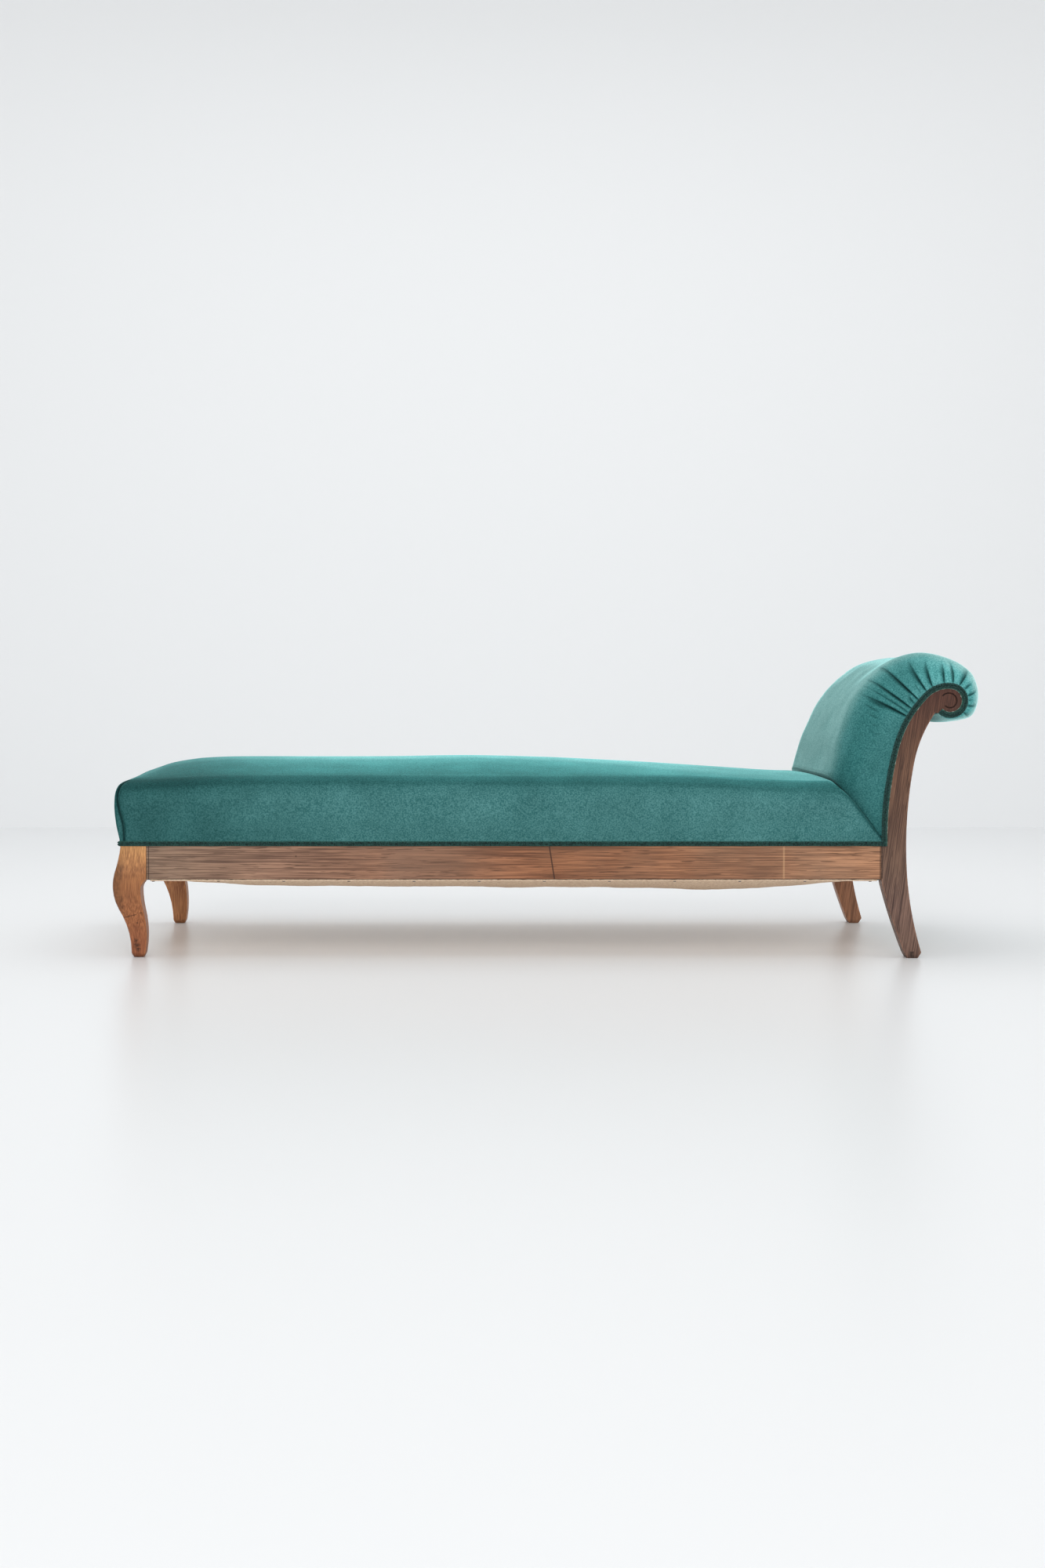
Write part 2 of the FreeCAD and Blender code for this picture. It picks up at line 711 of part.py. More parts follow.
def bottom_tacks():
    """Heads of the tacks that hold the hessian bottom, along both rails and both ends."""
    z1 = rail_bottom - 2 * webbing_thick - hessian_thick
    spots = []
    for k in range(12):
        x = foot_out + 70 + k * (stile_front - foot_out - 90) / 11
        spots += [(x, -rail_outer + 17, z1), (x, rail_outer - 17, z1)]
    for k in range(4):
        y = -225 + 150 * k
        spots += [(foot_out + 16, y, z1 - end_sag), (head_rail_front + 12, y, z1 - end_sag)]
    tacks = []
    for x, y, z in spots:
        ring = [FreeCAD.Vector(x + tack_radius * math.cos(math.radians(60 * k)),
                               y + tack_radius * math.sin(math.radians(60 * k)), z) for k in range(7)]
        tacks.append(Part.Face(Part.makePolygon(ring)).extrude(FreeCAD.Vector(0, 0, -tack_high)))
    return tacks


# Gimp, the braid over the tacked edges of the cloth

def gimp_profile(x):
    """Half-round braid lying on the cloth edge just above the bare wood."""
    back = -rail_outer - cloth
    low, high = show_top, show_top + gimp_wide
    a = FreeCAD.Vector(x, back, low)
    b = FreeCAD.Vector(x, back - gimp_thick, (low + high) / 2)
    c = FreeCAD.Vector(x, back, high)
    return Part.Face(Part.Wire([Part.Arc(a, b, c).toShape(), Part.makeLine(c, a)]))


def gimp_near_rail():
    start = foot_out - 1 - gimp_thick
    return gimp_profile(start).extrude(FreeCAD.Vector(stile_front - start, 0, 0))


def gimp_foot_end():
    reach = rail_outer + cloth
    braid = gimp_profile(0.0).extrude(FreeCAD.Vector(2 * reach, 0, 0))
    braid.translate(FreeCAD.Vector(-reach, reach, 0))
    braid.rotate(FreeCAD.Vector(0, 0, 0), FreeCAD.Vector(0, 0, 1), -90)
    braid.translate(FreeCAD.Vector(foot_out - 1, 0, 0))
    return braid


def gimp_near_stile():
    start = ((stile_front, show_top), 0.0)
    rise = front_start[1] - show_top
    foot = box(stile_front, stile_front + stile_gimp_wide, -half_width - gimp_thick, -half_width,
               start[0][1], start[0][1] + rise)
    braid = band(front_line, 0.0, -stile_gimp_wide, -half_width - gimp_thick, -half_width)
    return foot.fuse(braid).removeSplitter()


def gimp_outside_back():
    inner = half_width - stile_thick
    sides = []
    for y in (-inner, inner - gimp_wide):
        sides.append(band(upper_back, -0.5, 2.0, y, y + gimp_wide))
    return sides


# Every sub-part, written one file each

def save(name, pieces):
    if not isinstance(pieces, list):
        pieces = [pieces]
    solids = [solid for piece in pieces for solid in piece.Solids]
    shape = solids[0] if len(solids) == 1 else Part.makeCompound(solids)
    shape.exportStep("parts/" + name + ".step")
    return shape


def main():
    os.makedirs("parts", exist_ok=True)
    near_rail = near_seat_rail()
    foot_leg = near_foot_leg()
    back_rails = [head_end_rail(), tuck_rail(), upper_back_rail(), scroll_rail()]
    stile = near_head_stile(back_rails)
    block_screws = near_block_screws()
    rail_gimp = gimp_near_rail()
    stile_gimp = gimp_near_stile()
    cross_webbing, long_webbing = seat_webbing()

    save("near_seat_rail", near_rail)
    save("far_seat_rail", across(near_rail))
    save("foot_end_rail", foot_end_rail())
    save("head_end_rail", back_rails[0])
    save("tuck_rail", back_rails[1])
    save("upper_back_rail", back_rails[2])
    save("scroll_rail", back_rails[3])
    save("near_foot_leg", foot_leg)
    save("far_foot_leg", across(foot_leg))
    save("near_head_stile", stile)
    save("far_head_stile", across(stile))
    save("cross_brace", cross_brace())
    save("corner_blocks", corner_blocks())
    save("corner_block_screws", block_screws + [across(one) for one in block_screws])
    save("seat_webbing_cross", cross_webbing)
    save("seat_webbing_long", long_webbing)
    save("seat_springs", seat_springs())
    save("lashing_twine", lashing_twine())
    save("spring_hessian", spring_hessian())
    save("seat_stuffing", seat_stuffing())
    save("seat_cover", seat_cover())
    save("head_webbing", head_webbing())
    save("head_hessian", head_hessian())
    save("head_stuffing", head_stuffing())
    save("head_cover", head_cover())
    save("outside_back_cover", outside_back_cover())
    save("bottom_hessian", bottom_hessian())
    save("bottom_tacks", bottom_tacks())
    save("gimp_near_rail", rail_gimp)
    save("gimp_far_rail", across(rail_gimp))
    save("gimp_foot_end", gimp_foot_end())
    save("gimp_near_stile", stile_gimp)
    save("gimp_far_stile", across(stile_gimp))
    save("gimp_outside_back", gimp_outside_back())


main()
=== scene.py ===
import math

import bmesh
import bpy
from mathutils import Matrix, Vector, noise


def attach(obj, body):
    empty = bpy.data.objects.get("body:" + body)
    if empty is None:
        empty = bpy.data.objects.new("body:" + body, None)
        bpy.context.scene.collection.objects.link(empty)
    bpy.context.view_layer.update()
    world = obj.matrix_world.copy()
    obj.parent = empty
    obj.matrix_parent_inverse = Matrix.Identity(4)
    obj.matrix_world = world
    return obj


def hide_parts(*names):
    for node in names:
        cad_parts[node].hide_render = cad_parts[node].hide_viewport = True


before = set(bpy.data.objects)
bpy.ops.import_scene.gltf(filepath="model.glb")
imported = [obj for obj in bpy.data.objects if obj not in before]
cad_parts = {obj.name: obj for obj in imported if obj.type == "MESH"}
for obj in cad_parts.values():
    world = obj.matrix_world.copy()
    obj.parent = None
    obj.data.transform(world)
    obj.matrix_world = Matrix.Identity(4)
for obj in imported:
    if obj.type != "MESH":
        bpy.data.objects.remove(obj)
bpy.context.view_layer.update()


# Foot legs and head stiles: walnut, sawn from plank and shaped by hand.
# Years of use have rounded their arrises, so each is the sawn piece with softened edges.

front_arcs = [(790.0, 14.3), (257.7, 30.9), (71.9, 53.5), (38.0, 72.2), (38.0, 72.2), (38.0, 70.5)]
volute_start, volute_heading = (850.6, 571.0), 45.0
volute_arcs = [(18.0, 90.0), (16.0, 90.0), (14.0, 90.0)]
groove_deep, groove_beside, groove_points = 1.8, 5.0, 76
outer_face, scroll_low = 333.0, 525.0


def clip(value):
    """The value, held between 0 and 1."""
    return min(max(value, 0.0), 1.0)


def uneven(a, b, c):
    """A smooth random value, about -1 to 1, for a place; the same each run."""
    return noise.noise(Vector((a, b, c)))


def along_arcs(start, heading, arcs, distance):
    """Place and heading at a distance along a line of tangent arcs; 0 is up, growing toward +X."""
    x, z = start
    for number, (radius, turn) in enumerate(arcs):
        whole = radius * math.radians(abs(turn))
        part = distance / whole
        if part < 1 or number == len(arcs) - 1:
            turn *= part
        side = math.copysign(radius, arcs[number][1])
        first, last = math.radians(heading), math.radians(heading + turn)
        x += side * (math.cos(first) - math.cos(last))
        z += side * (math.sin(last) - math.sin(first))
        heading += turn
        if part < 1:
            break
        distance -= whole
    return x, z, math.radians(heading)


def spans(points):
    """A smooth line through points, asked for by span number and share of that span."""
    points = [Vector(p) for p in points]
    lengths = [(b - a).length for a, b in zip(points, points[1:])]
    slopes = []
    for i in range(len(points)):
        low, high = max(i - 1, 0), min(i + 1, len(points) - 1)
        slopes.append((points[high] - points[low]) / sum(lengths[low:high]))

    def at(i, t):
        a, b, length = points[i], points[i + 1], lengths[i]
        return ((2 * t ** 3 - 3 * t ** 2 + 1) * a + (t ** 3 - 2 * t ** 2 + t) * length * slopes[i]
                + (3 * t ** 2 - 2 * t ** 3) * b + (t ** 3 - t ** 2) * length * slopes[i + 1])
    at.lengths = lengths
    return at


def through(points):
    """A smooth line through points, asked for by share of its length."""
    line = spans(points)
    last = len(line.lengths) - 1
    whole = sum(line.lengths)

    def at(share):
        place = clip(share) * whole
        i = 0
        while i < last and place > line.lengths[i]:
            place -= line.lengths[i]
            i += 1
        return line(i, place / line.lengths[i])
    return at


def profile(points):
    """A smooth value by place along one measure, through (place, value) pairs."""
    places = [p[0] for p in points]
    line = through([(p[0], p[1]) for p in points])
    samples = 400
    table = [line(k / samples) for k in range(samples + 1)]

    def value(place):
        place = min(max(place, places[0]), places[-1])
        low, high = 0, samples
        while high - low > 1:
            middle = (low + high) // 2
            if table[middle][0] <= place:
                low = middle
            else:
                high = middle
        a, b = table[low], table[high]
        return a[1] + (b[1] - a[1]) * (place - a[0]) / max(b[0] - a[0], 1e-9)
    return value


groove_line = [along_arcs(volute_start, volute_heading, volute_arcs, k)[:2] for k in range(groove_points)]


def from_groove(p):
    """How far a point of a stile's outer face is from the line cut in the scroll."""
    if abs(p.y) < outer_face or p.z < scroll_low:
        return 50.0
    return min(math.hypot(p.x - x, p.z - z) for x, z in groove_line)


def worn_copy(name, node, voxel, passes, dirt_and_shade):
    """The sawn piece with its edges worn round. Its vertex colour holds in red lighter rubbed edges,
    also a painted edge highlight, and in green darkening: dirt, marks, the scroll's cut line and painted
    shade.
    """
    piece = bpy.data.objects.new(name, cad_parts[node].data.copy())
    bpy.context.scene.collection.objects.link(piece)
    bm = bmesh.new()
    bm.from_mesh(piece.data)
    bmesh.ops.remove_doubles(bm, verts=bm.verts, dist=0.00002)
    bm.to_mesh(piece.data)
    bm.free()
    remesh = piece.modifiers.new("even", "REMESH")
    remesh.mode = "VOXEL"
    remesh.voxel_size = voxel
    mesh = bpy.data.meshes.new_from_object(piece.evaluated_get(bpy.context.evaluated_depsgraph_get()))
    piece.modifiers.clear()
    piece.data = mesh
    bm = bmesh.new()
    bm.from_mesh(mesh)
    bmesh.ops.scale(bm, vec=(1000, 1000, 1000), verts=bm.verts)
    every_way = {"use_axis_x": True, "use_axis_y": True, "use_axis_z": True}
    for turn in range(passes):
        bmesh.ops.smooth_vert(bm, verts=bm.verts, factor=0.5, **every_way)
    for turn in range(2):
        near = {vert for vert in bm.verts if from_groove(vert.co) < groove_beside}
        edges = [edge for edge in bm.edges if edge.verts[0] in near and edge.verts[1] in near]
        if edges:
            bmesh.ops.subdivide_edges(bm, edges=edges, cuts=1, use_grid_fill=True)
    bm.normal_update()
    layer = bm.verts.layers.float_color.new("wear_and_painted_light")
    for vert in bm.verts:
        # Red: lighter on convex edges, wear that also stands as a painted highlight; green: darker where
        # told, and in the scroll's cut line.
        bend = sum(edge.calc_face_angle_signed(0.0) for edge in vert.link_edges) / len(vert.link_edges)
        depth = max(groove_deep - from_groove(vert.co), 0.0)
        soil = max(dirt_and_shade(vert.co), min(depth * 1.2, 1.0))
        vert[layer] = (clip(bend * 4.0 - 0.1), clip(soil), 0.0, 1.0)
        vert.co.y -= math.copysign(depth, vert.co.y)
    bmesh.ops.scale(bm, vec=(0.001, 0.001, 0.001), verts=bm.verts)
    bm.to_mesh(mesh)
    bm.free()
    mesh.materials.clear()
    mesh.shade_smooth()
    return piece


class Tree:
    """Short calls for wiring the nodes of a material or a group."""

    def __init__(self, tree):
        self.nodes, self.links = tree.nodes, tree.links

    def put(self, kind, *inputs, **settings):
        """A node with its settings and its first inputs, each a value or another node's output."""
        node = self.nodes.new("ShaderNode" + kind)
        for name, value in settings.items():
            setattr(node, name, value)
        for slot, value in zip(node.inputs, inputs):
            self.feed(slot, value)
        return node

    def feed(self, slot, value):
        if isinstance(value, bpy.types.NodeSocket):
            self.links.new(value, slot)
        elif isinstance(value, tuple) and slot.type == "RGBA":
            slot.default_value = (*value, 1)
        elif value is not None:
            slot.default_value = value

    def calc(self, kind, a, b=None, c=None):
        return self.put("Math", a, b, c, operation=kind).outputs[0]

    def spots(self, place, scale, detail, stretch=None, distortion=0.0):
        if stretch:
            place = self.put("Mapping", place, None, None, stretch).outputs[0]
        node = self.put("TexNoise", place)
        for label, value in (("Scale", scale), ("Detail", detail), ("Distortion", distortion)):
            node.inputs[label].default_value = value
        return node.outputs["Fac"]

    def ramp(self, value, low, high, start=0.0, end=1.0):
        return self.put("MapRange", value, low, high, start, end, interpolation_type="SMOOTHSTEP").outputs[0]

    def blend(self, share, a, b, kind="MIX"):
        node = self.put("Mix", data_type="RGBA", blend_type=kind)
        for number, value in ((0, share), (6, a), (7, b)):
            self.feed(node.inputs[number], value)
        return node.outputs[2]

    def tones(self, value, stops, interpolation="LINEAR"):
        """Factors for a colour along stops from 0 to 1; a ramp can't hold more than 1, so it is scaled."""
        peak = max(max(tone) for at, tone in stops)
        node = self.put("ValToRGB", value)
        node.color_ramp.interpolation = interpolation
        marks = node.color_ramp.elements
        for number, (at, tone) in enumerate(stops):
            mark = marks[0] if number == 0 else marks[-1] if number == len(stops) - 1 else marks.new(at)
            mark.color = (*[part / peak for part in tone], 1)
        scaled = self.put("VectorMath", node.outputs["Color"], operation="SCALE")
        scaled.inputs["Scale"].default_value = peak
        return scaled.outputs[0]

    def bump(self, height, strength, distance):
        node = self.put("Bump", strength, distance)
        self.links.new(height, node.inputs["Height"])
        return node.outputs["Normal"]


def new_group(name, inputs, outputs):
    """An empty node group; gives its tree, the outputs of its entry and the inputs of its leave."""
    group = bpy.data.node_groups.new(name, "ShaderNodeTree")
    for label, value in inputs:
        kind = "NodeSocketVector" if value is None else "NodeSocketFloat"
        socket = group.interface.new_socket(label, in_out="INPUT", socket_type=kind)
        if value is not None:
            socket.default_value = value
    for label in outputs:
        group.interface.new_socket(label, in_out="OUTPUT", socket_type="NodeSocketFloat")
    tree = Tree(group)
    entry, leave = group.nodes.new("NodeGroupInput"), group.nodes.new("NodeGroupOutput")
    return group, tree, entry.outputs, leave.inputs


def new_material(name, roughness, specular):
    material = bpy.data.materials.new(name)
    material.use_nodes = True
    tree = Tree(material.node_tree)
    skin = tree.nodes["Principled BSDF"].inputs
    skin["Roughness"].default_value = roughness
    skin["Specular IOR Level"].default_value = specular
    place = tree.put("TexCoord").outputs["Object"]
    return material, tree, skin, place


def place_group(tree, group, **inputs):
    node = tree.put("Group", node_tree=group)
    for label, value in inputs.items():
        tree.feed(node.inputs[label], value)
    return node.outputs


def grain_group():
    """Walnut figure on a piece whose fibres run along X: colour share, pores, stain and height."""
    group, tree, entry, leave = new_group("walnut_grain", [("Place", None), ("Figure", 1.0)],
                                          ["Light", "Pore", "Stain", "Height"])
    place = entry["Place"]
    figure = tree.spots(place, 9, 3, (0.55, 4.2, 4.2), 0.6)
    streaks = tree.spots(place, 85, 4, (0.06, 3.4, 3.4))
    fibres = tree.spots(place, 240, 3, (0.03, 2.4, 2.4))
    light = tree.calc("MULTIPLY_ADD", streaks, 0.42, tree.calc("MULTIPLY", figure, 0.38))
    light = tree.calc("MULTIPLY_ADD", fibres, 0.74, light)
    tree.feed(leave["Light"], tree.ramp(tree.calc("MULTIPLY", light, entry["Figure"]), 0.56, 0.98))
    pores = tree.ramp(tree.spots(place, 520, 1, (0.05, 1.0, 1.0)), 0.56, 0.66)
    pores = tree.calc("MULTIPLY", pores, tree.ramp(streaks, 0.35, 0.6))
    tree.feed(leave["Pore"], pores)
    tree.feed(leave["Stain"], tree.ramp(tree.spots(place, 5, 3), 0.42, 0.7))
    tree.feed(leave["Height"], tree.calc("SUBTRACT", tree.calc("MULTIPLY", fibres, 0.5), pores))
    return group


def handling_group():
    """What use leaves on wood: rubbed arrises, which also paint a highlight along the edges; darkening broken
    up by the grain, partly dirt and partly painted shade; and small nicks.
    """
    group, tree, entry, leave = new_group("handling", [("Place", None), ("Rub", 0.0), ("Soil", 0.0)],
                                          ["Rubbed", "Soiled", "Nick"])
    broken = tree.ramp(tree.spots(entry["Place"], 60, 4), 0.3, 0.62)
    tree.feed(leave["Rubbed"], tree.calc("MULTIPLY", entry["Rub"], broken))
    patchy = tree.ramp(tree.spots(entry["Place"], 140, 4), 0.2, 0.6, 0.45, 1.0)
    tree.feed(leave["Soiled"], tree.calc("MULTIPLY", entry["Soil"], patchy))
    cells = tree.put("TexVoronoi", entry["Place"])
    cells.inputs["Scale"].default_value = 26
    dots = tree.ramp(cells.outputs["Distance"], 0.035, 0.075, 1.0, 0.0)
    few = tree.ramp(tree.spots(entry["Place"], 17, 1), 0.56, 0.6)
    tree.feed(leave["Nick"], tree.calc("MULTIPLY", dots, few))
    return group


grain, handling = grain_group(), handling_group()


def walnut(name, dark, light, stain, turn=(0, 0, 0), shift=(0, 0, 0), roughness=0.5, figure=1.0, pores=0.6,
           tone_axis="Z", tones=((0.0, (1, 1, 1)), (1.0, (1, 1, 1))), marks=()):
    """Walnut with its fibres turned to lie along the piece. Tones are how its colour drifts along
    an axis, in metres, partly the wood's own tone and partly painted light and shade; marks are narrow
    lines across X: (x, half width, slope, colour, strength)."""
    material, tree, skin, place = new_material(name, roughness, 0.3)
    turned = tree.put("Mapping", place, shift, [math.radians(a) for a in turn]).outputs[0]
    wood = place_group(tree, grain, Place=turned, Figure=figure)
    wear_and_painted_light = tree.put("SeparateColor", tree.put("Attribute", attribute_name="wear_and_painted_light").outputs["Color"]).outputs
    used = place_group(tree, handling, Place=place, Rub=wear_and_painted_light[0], Soil=wear_and_painted_light[1])
    axes = tree.put("SeparateXYZ", place).outputs
    colour = tree.blend(wood["Light"], dark, light)
    colour = tree.blend(tree.calc("MULTIPLY", wood["Stain"], 0.45), colour, stain)
    first, last = tones[0][0], tones[-1][0]
    share = tree.put("MapRange", axes[tone_axis], first, last).outputs[0]
    drift = tree.tones(share, [((at - first) / (last - first), tone) for at, tone in tones])
    colour = tree.blend(1.0, colour, drift, "MULTIPLY")
    colour = tree.blend(tree.calc("MULTIPLY", wood["Pore"], pores), colour, tuple(c * 0.35 for c in dark))
    for at, half, slope, tone, strength in marks:
        leaning = tree.calc("MULTIPLY_ADD", axes["Z"], slope, axes["X"])
        off = tree.calc("ABSOLUTE", tree.calc("SUBTRACT", leaning, at))
        colour = tree.blend(tree.ramp(off, half * 0.4, half, strength, 0.0), colour, tone)
    # Lighter on rubbed edges, partly a painted highlight; darker where soiled, partly painted shade; nicks
    # dark.
    colour = tree.blend(tree.calc("MULTIPLY", used["Rubbed"], 0.5), colour, tuple(c * 1.35 for c in light))
    colour = tree.blend(tree.calc("MULTIPLY", used["Soiled"], 0.85), colour, tuple(c * 0.16 for c in dark))
    colour = tree.blend(tree.calc("MULTIPLY", used["Nick"], 0.7), colour, tuple(c * 0.25 for c in dark))
    tree.feed(skin["Base Color"], colour)
    tree.feed(skin["Normal"], tree.bump(wood["Height"], 0.3, 0.0004))
    return material


# Tones partly paint light and shade: the legs brightest at the block's top, the near stile darker toward its
# top. The far leg and far stile get lighter copies of the walnut, painted light for how they are lit.
leg_walnut = walnut("leg_walnut", (0.20, 0.072, 0.028), (0.49, 0.20, 0.078), (0.17, 0.06, 0.03),
                    turn=(0, 90, 0), roughness=0.42, pores=0.3,
                    tones=((0.0, (0.9, 0.75, 0.75)), (0.03, (1.10, 0.95, 0.97)), (0.12, (1.08, 1.04, 1.0)),
                           (0.19, (1.15, 1.20, 1.1)), (0.218, (1.65, 1.95, 1.85)), (0.25, (1.95, 2.5, 2.4))))
far_leg_lit_walnut = walnut("far_leg_lit_walnut", (0.26, 0.10, 0.042), (0.62, 0.28, 0.115), (0.22, 0.085, 0.045),
                        turn=(0, 90, 0), shift=(0.4, 0.1, 0.3), roughness=0.42, pores=0.3)
stile_walnut = walnut("stile_walnut", (0.087, 0.041, 0.028), (0.32, 0.162, 0.100), (0.13, 0.06, 0.04),
                      turn=(0, 82, 0), shift=(0, 0.3, 0.1), roughness=0.45,
                      tones=((0.0, (0.75, 0.8, 0.9)), (0.03, (0.85, 0.98, 1.15)),
                             (0.12, (0.81, 0.93, 1.12)), (0.2, (0.76, 0.87, 0.94)),
                             (0.38, (0.84, 0.85, 0.81)), (0.48, (0.61, 0.58, 0.56)),
                             (0.58, (0.45, 0.34, 0.35))))
far_stile_lit_walnut = walnut("far_stile_lit_walnut", (0.20, 0.095, 0.055), (0.50, 0.23, 0.125), (0.24, 0.12, 0.07),
                    turn=(0, 82, 0), shift=(0.2, 0.3, 0.1), roughness=0.45)
knee_outline = profile([(80, -929.0), (90, -933.5), (110, -942.7), (130, -947.9), (155, -951.3),
                        (180, -949.3), (200, -944.3), (220, -939.4), (240, -936.9)])
knee_low, knee_high = 88.0, 236.0
foot_marks = [(-890.3, 98.4, 2.6), (-900.5, 27.0, 8.0), (-903.0, 37.0, 5.0), (-898.5, 18.0, 5.5)]
crack_start, crack_end, crack_low, crack_slope, crack_half = -927.7, -900.5, 88.2, 0.25, 1.5


def foot_dirt_and_shade(p):
    """Darker at the very bottom of the foot; painted shade down the knee's outer arris;
    grime round nail holes and in one crack.
    """
    soil = max(1 - p.z / 11.0, 0.0) * 0.8
    # Painted shade down the knee's outer arris, on the side turned from the light.
    if knee_low < p.z < knee_high:
        inward = p.x - knee_outline(p.z) - 14 - 7 * uneven(1.0, p.y / 25, p.z / 14)
        along = min((p.z - knee_low) / 30, (knee_high - p.z) / 40, 1.0)
        soil = max(soil, 0.62 * max(1 - max(inward, 0.0) / 8.0, 0.0) * along)
    if p.y < -280:
        for x, z, radius in foot_marks:
            off = math.hypot(p.x - x, p.z - z) / radius
            soil = max(soil, 1.25 - off + 0.5 * uneven(p.x / 3, p.z / 3, 0) if off < 2 else 0)
        crack = abs(p.z - crack_low - (p.x - crack_start) * crack_slope)
        if crack_start < p.x < crack_end and crack < crack_half:
            soil = max(soil, 0.9 * (crack_half - crack))
    return soil


def stile_dirt(p):
    """Darker at the foot's very end, grime in the joint with the seat rail, and one mark low on the near
    foot.
    """
    soil = max(1 - p.z / 9.0, 0.0) * 0.7
    if p.y < -outer_face and p.x < 721 and 172 < p.z < 244:
        soil = max(soil, 0.8)
    if abs(p.x - 786) < 4 and p.z < 14 and p.y < -330:
        soil = 0.9
    return soil


for side in ("near", "far"):
    leg = worn_copy(side + "_cabriole_leg", side + "_foot_leg", 0.0013, 3, foot_dirt_and_shade)
    leg.data.materials.append(leg_walnut if side == "near" else far_leg_lit_walnut)
    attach(leg, "root")
    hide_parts(side + "_foot_leg")
    stile = worn_copy(side + "_sabre_stile", side + "_head_stile", 0.0018, 1, stile_dirt)
    stile.data.materials.append(stile_walnut if side == "near" else far_stile_lit_walnut)
    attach(stile, "root")
    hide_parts(side + "_head_stile")


# Rails: walnut planks, tenoned into legs and stiles, and hidden ones of beech inside the seat and back.
# Each long rail shows a dark line at its joints. The near one also has a slanting dark scratch, a pale
# upright line, a stretch by the foot leg coloured greyer, and a lighter end by the head that is partly
# painted light.

rail_colours = (0.13, 0.055, 0.030), (0.46, 0.215, 0.115), (0.22, 0.13, 0.085)
joint_gaps = tuple((x, 0.0016, 0.0, (0.04, 0.018, 0.012), 0.7) for x in (-0.8735, 0.7165))
pale_line = (0.507, 0.0028, 0.0, (0.75, 0.45, 0.24), 0.35)
dark_scratch = (0.0358, 0.0022, 0.158, (0.05, 0.02, 0.012), 0.85)
near_rail_walnut = walnut("near_rail_walnut", *rail_colours, roughness=0.5, tone_axis="X",
                          tones=((-0.9, (0.90, 1.26, 1.58)), (-0.6, (1.0, 1.20, 1.45)),
                                 (0.0, (0.99, 0.86, 0.73)), (0.42, (1.17, 1.18, 1.14)),
                                 (0.7, (1.38, 1.48, 1.48))),
                          marks=(pale_line, dark_scratch, *joint_gaps))
far_rail_walnut = walnut("far_rail_walnut", *rail_colours, shift=(0.6, 0.2, 0.4), roughness=0.5,
                         marks=joint_gaps)
cross_rail_walnut = walnut("cross_rail_walnut", (0.15, 0.08, 0.05), (0.42, 0.22, 0.14), (0.20, 0.13, 0.10),
                           turn=(0, 0, 90), roughness=0.55)
hidden_beech = walnut("hidden_beech", (0.34, 0.2, 0.11), (0.56, 0.37, 0.22), (0.4, 0.25, 0.15),
                      turn=(0, 0, 90), roughness=0.7, figure=1.2)


def finish_node(node, material):
    """Gives a carried-over piece its real surface."""
    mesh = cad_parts[node].data
    mesh.materials.clear()
    mesh.materials.append(material)


finish_node("near_seat_rail", near_rail_walnut)
finish_node("far_seat_rail", far_rail_walnut)
for node in ("foot_end_rail", "head_end_rail"):
    finish_node(node, cross_rail_walnut)
for node in ("tuck_rail", "upper_back_rail", "scroll_rail", "cross_brace", "corner_blocks"):
    finish_node(node, hidden_beech)


# Seat. Velvet over a firm stitched edge and fibre stuffing, drawn down outside the rails.
# The cloth rolls over a firm edge, is folded into a pleat at each foot corner, and dips into the
# crease where the headrest begins.

def panel(bm, columns, rows, place, shade=None):
    """A panel of cloth: a grid whose points go where place(u, v) says, u and v from 0 to 1.
    shade(point) is the painted shade and unevenness of the pile there; place may give it too, beside the
    point."""
    layer = bm.verts.layers.float_color.get("shade") or bm.verts.layers.float_color.new("shade")
    made = bmesh.ops.create_grid(bm, x_segments=columns, y_segments=rows, size=0.5)
    for vert in made["verts"]:
        spot = place(vert.co.x + 0.5, vert.co.y + 0.5)
        spot, value = spot if isinstance(spot, tuple) else (spot, shade(spot) if shade else 1.0)
        vert.co = spot
        vert[layer] = (value ** 1.3, value, value, 1.0)
    return made["verts"]


def soft_piece(name, bm, material):
    """Turns a mesh made in millimetres into a smooth piece in metres."""
    bmesh.ops.scale(bm, vec=(0.001, 0.001, 0.001), verts=bm.verts)
    mesh = bpy.data.meshes.new(name)
    bm.to_mesh(mesh)
    bm.free()
    mesh.materials.append(material)
    mesh.shade_smooth()
    piece = bpy.data.objects.new(name, mesh)
    bpy.context.scene.collection.objects.link(piece)
    return piece


def nap_group():
    """Cut pile pressed this way and that: how light each patch looks, and the tufts' height."""
    group, tree, entry, leave = new_group("nap", [("Place", None), ("Tufts", 340.0)], ["Light", "Height"])
    place = entry["Place"]
    tufts = tree.put("TexNoise", place)
    tree.feed(tufts.inputs["Scale"], entry["Tufts"])
    tufts.inputs["Detail"].default_value = 3
    tufts = tree.put("MapRange", tufts.outputs["Fac"], 0.36, 0.64).outputs[0]
    light = tree.calc("MULTIPLY", tufts, 0.70)
    for scale in (50, 7):
        patches = tree.put("MapRange", tree.spots(place, scale, 3), 0.3, 0.7).outputs[0]
        light = tree.calc("MULTIPLY_ADD", patches, 0.15, light)
    tree.feed(leave["Light"], light)
    tree.feed(leave["Height"], tufts)
    return group


nap = nap_group()


velvet_deep, velvet_pale = (0.050, 0.285, 0.285), (0.215, 0.65, 0.64)


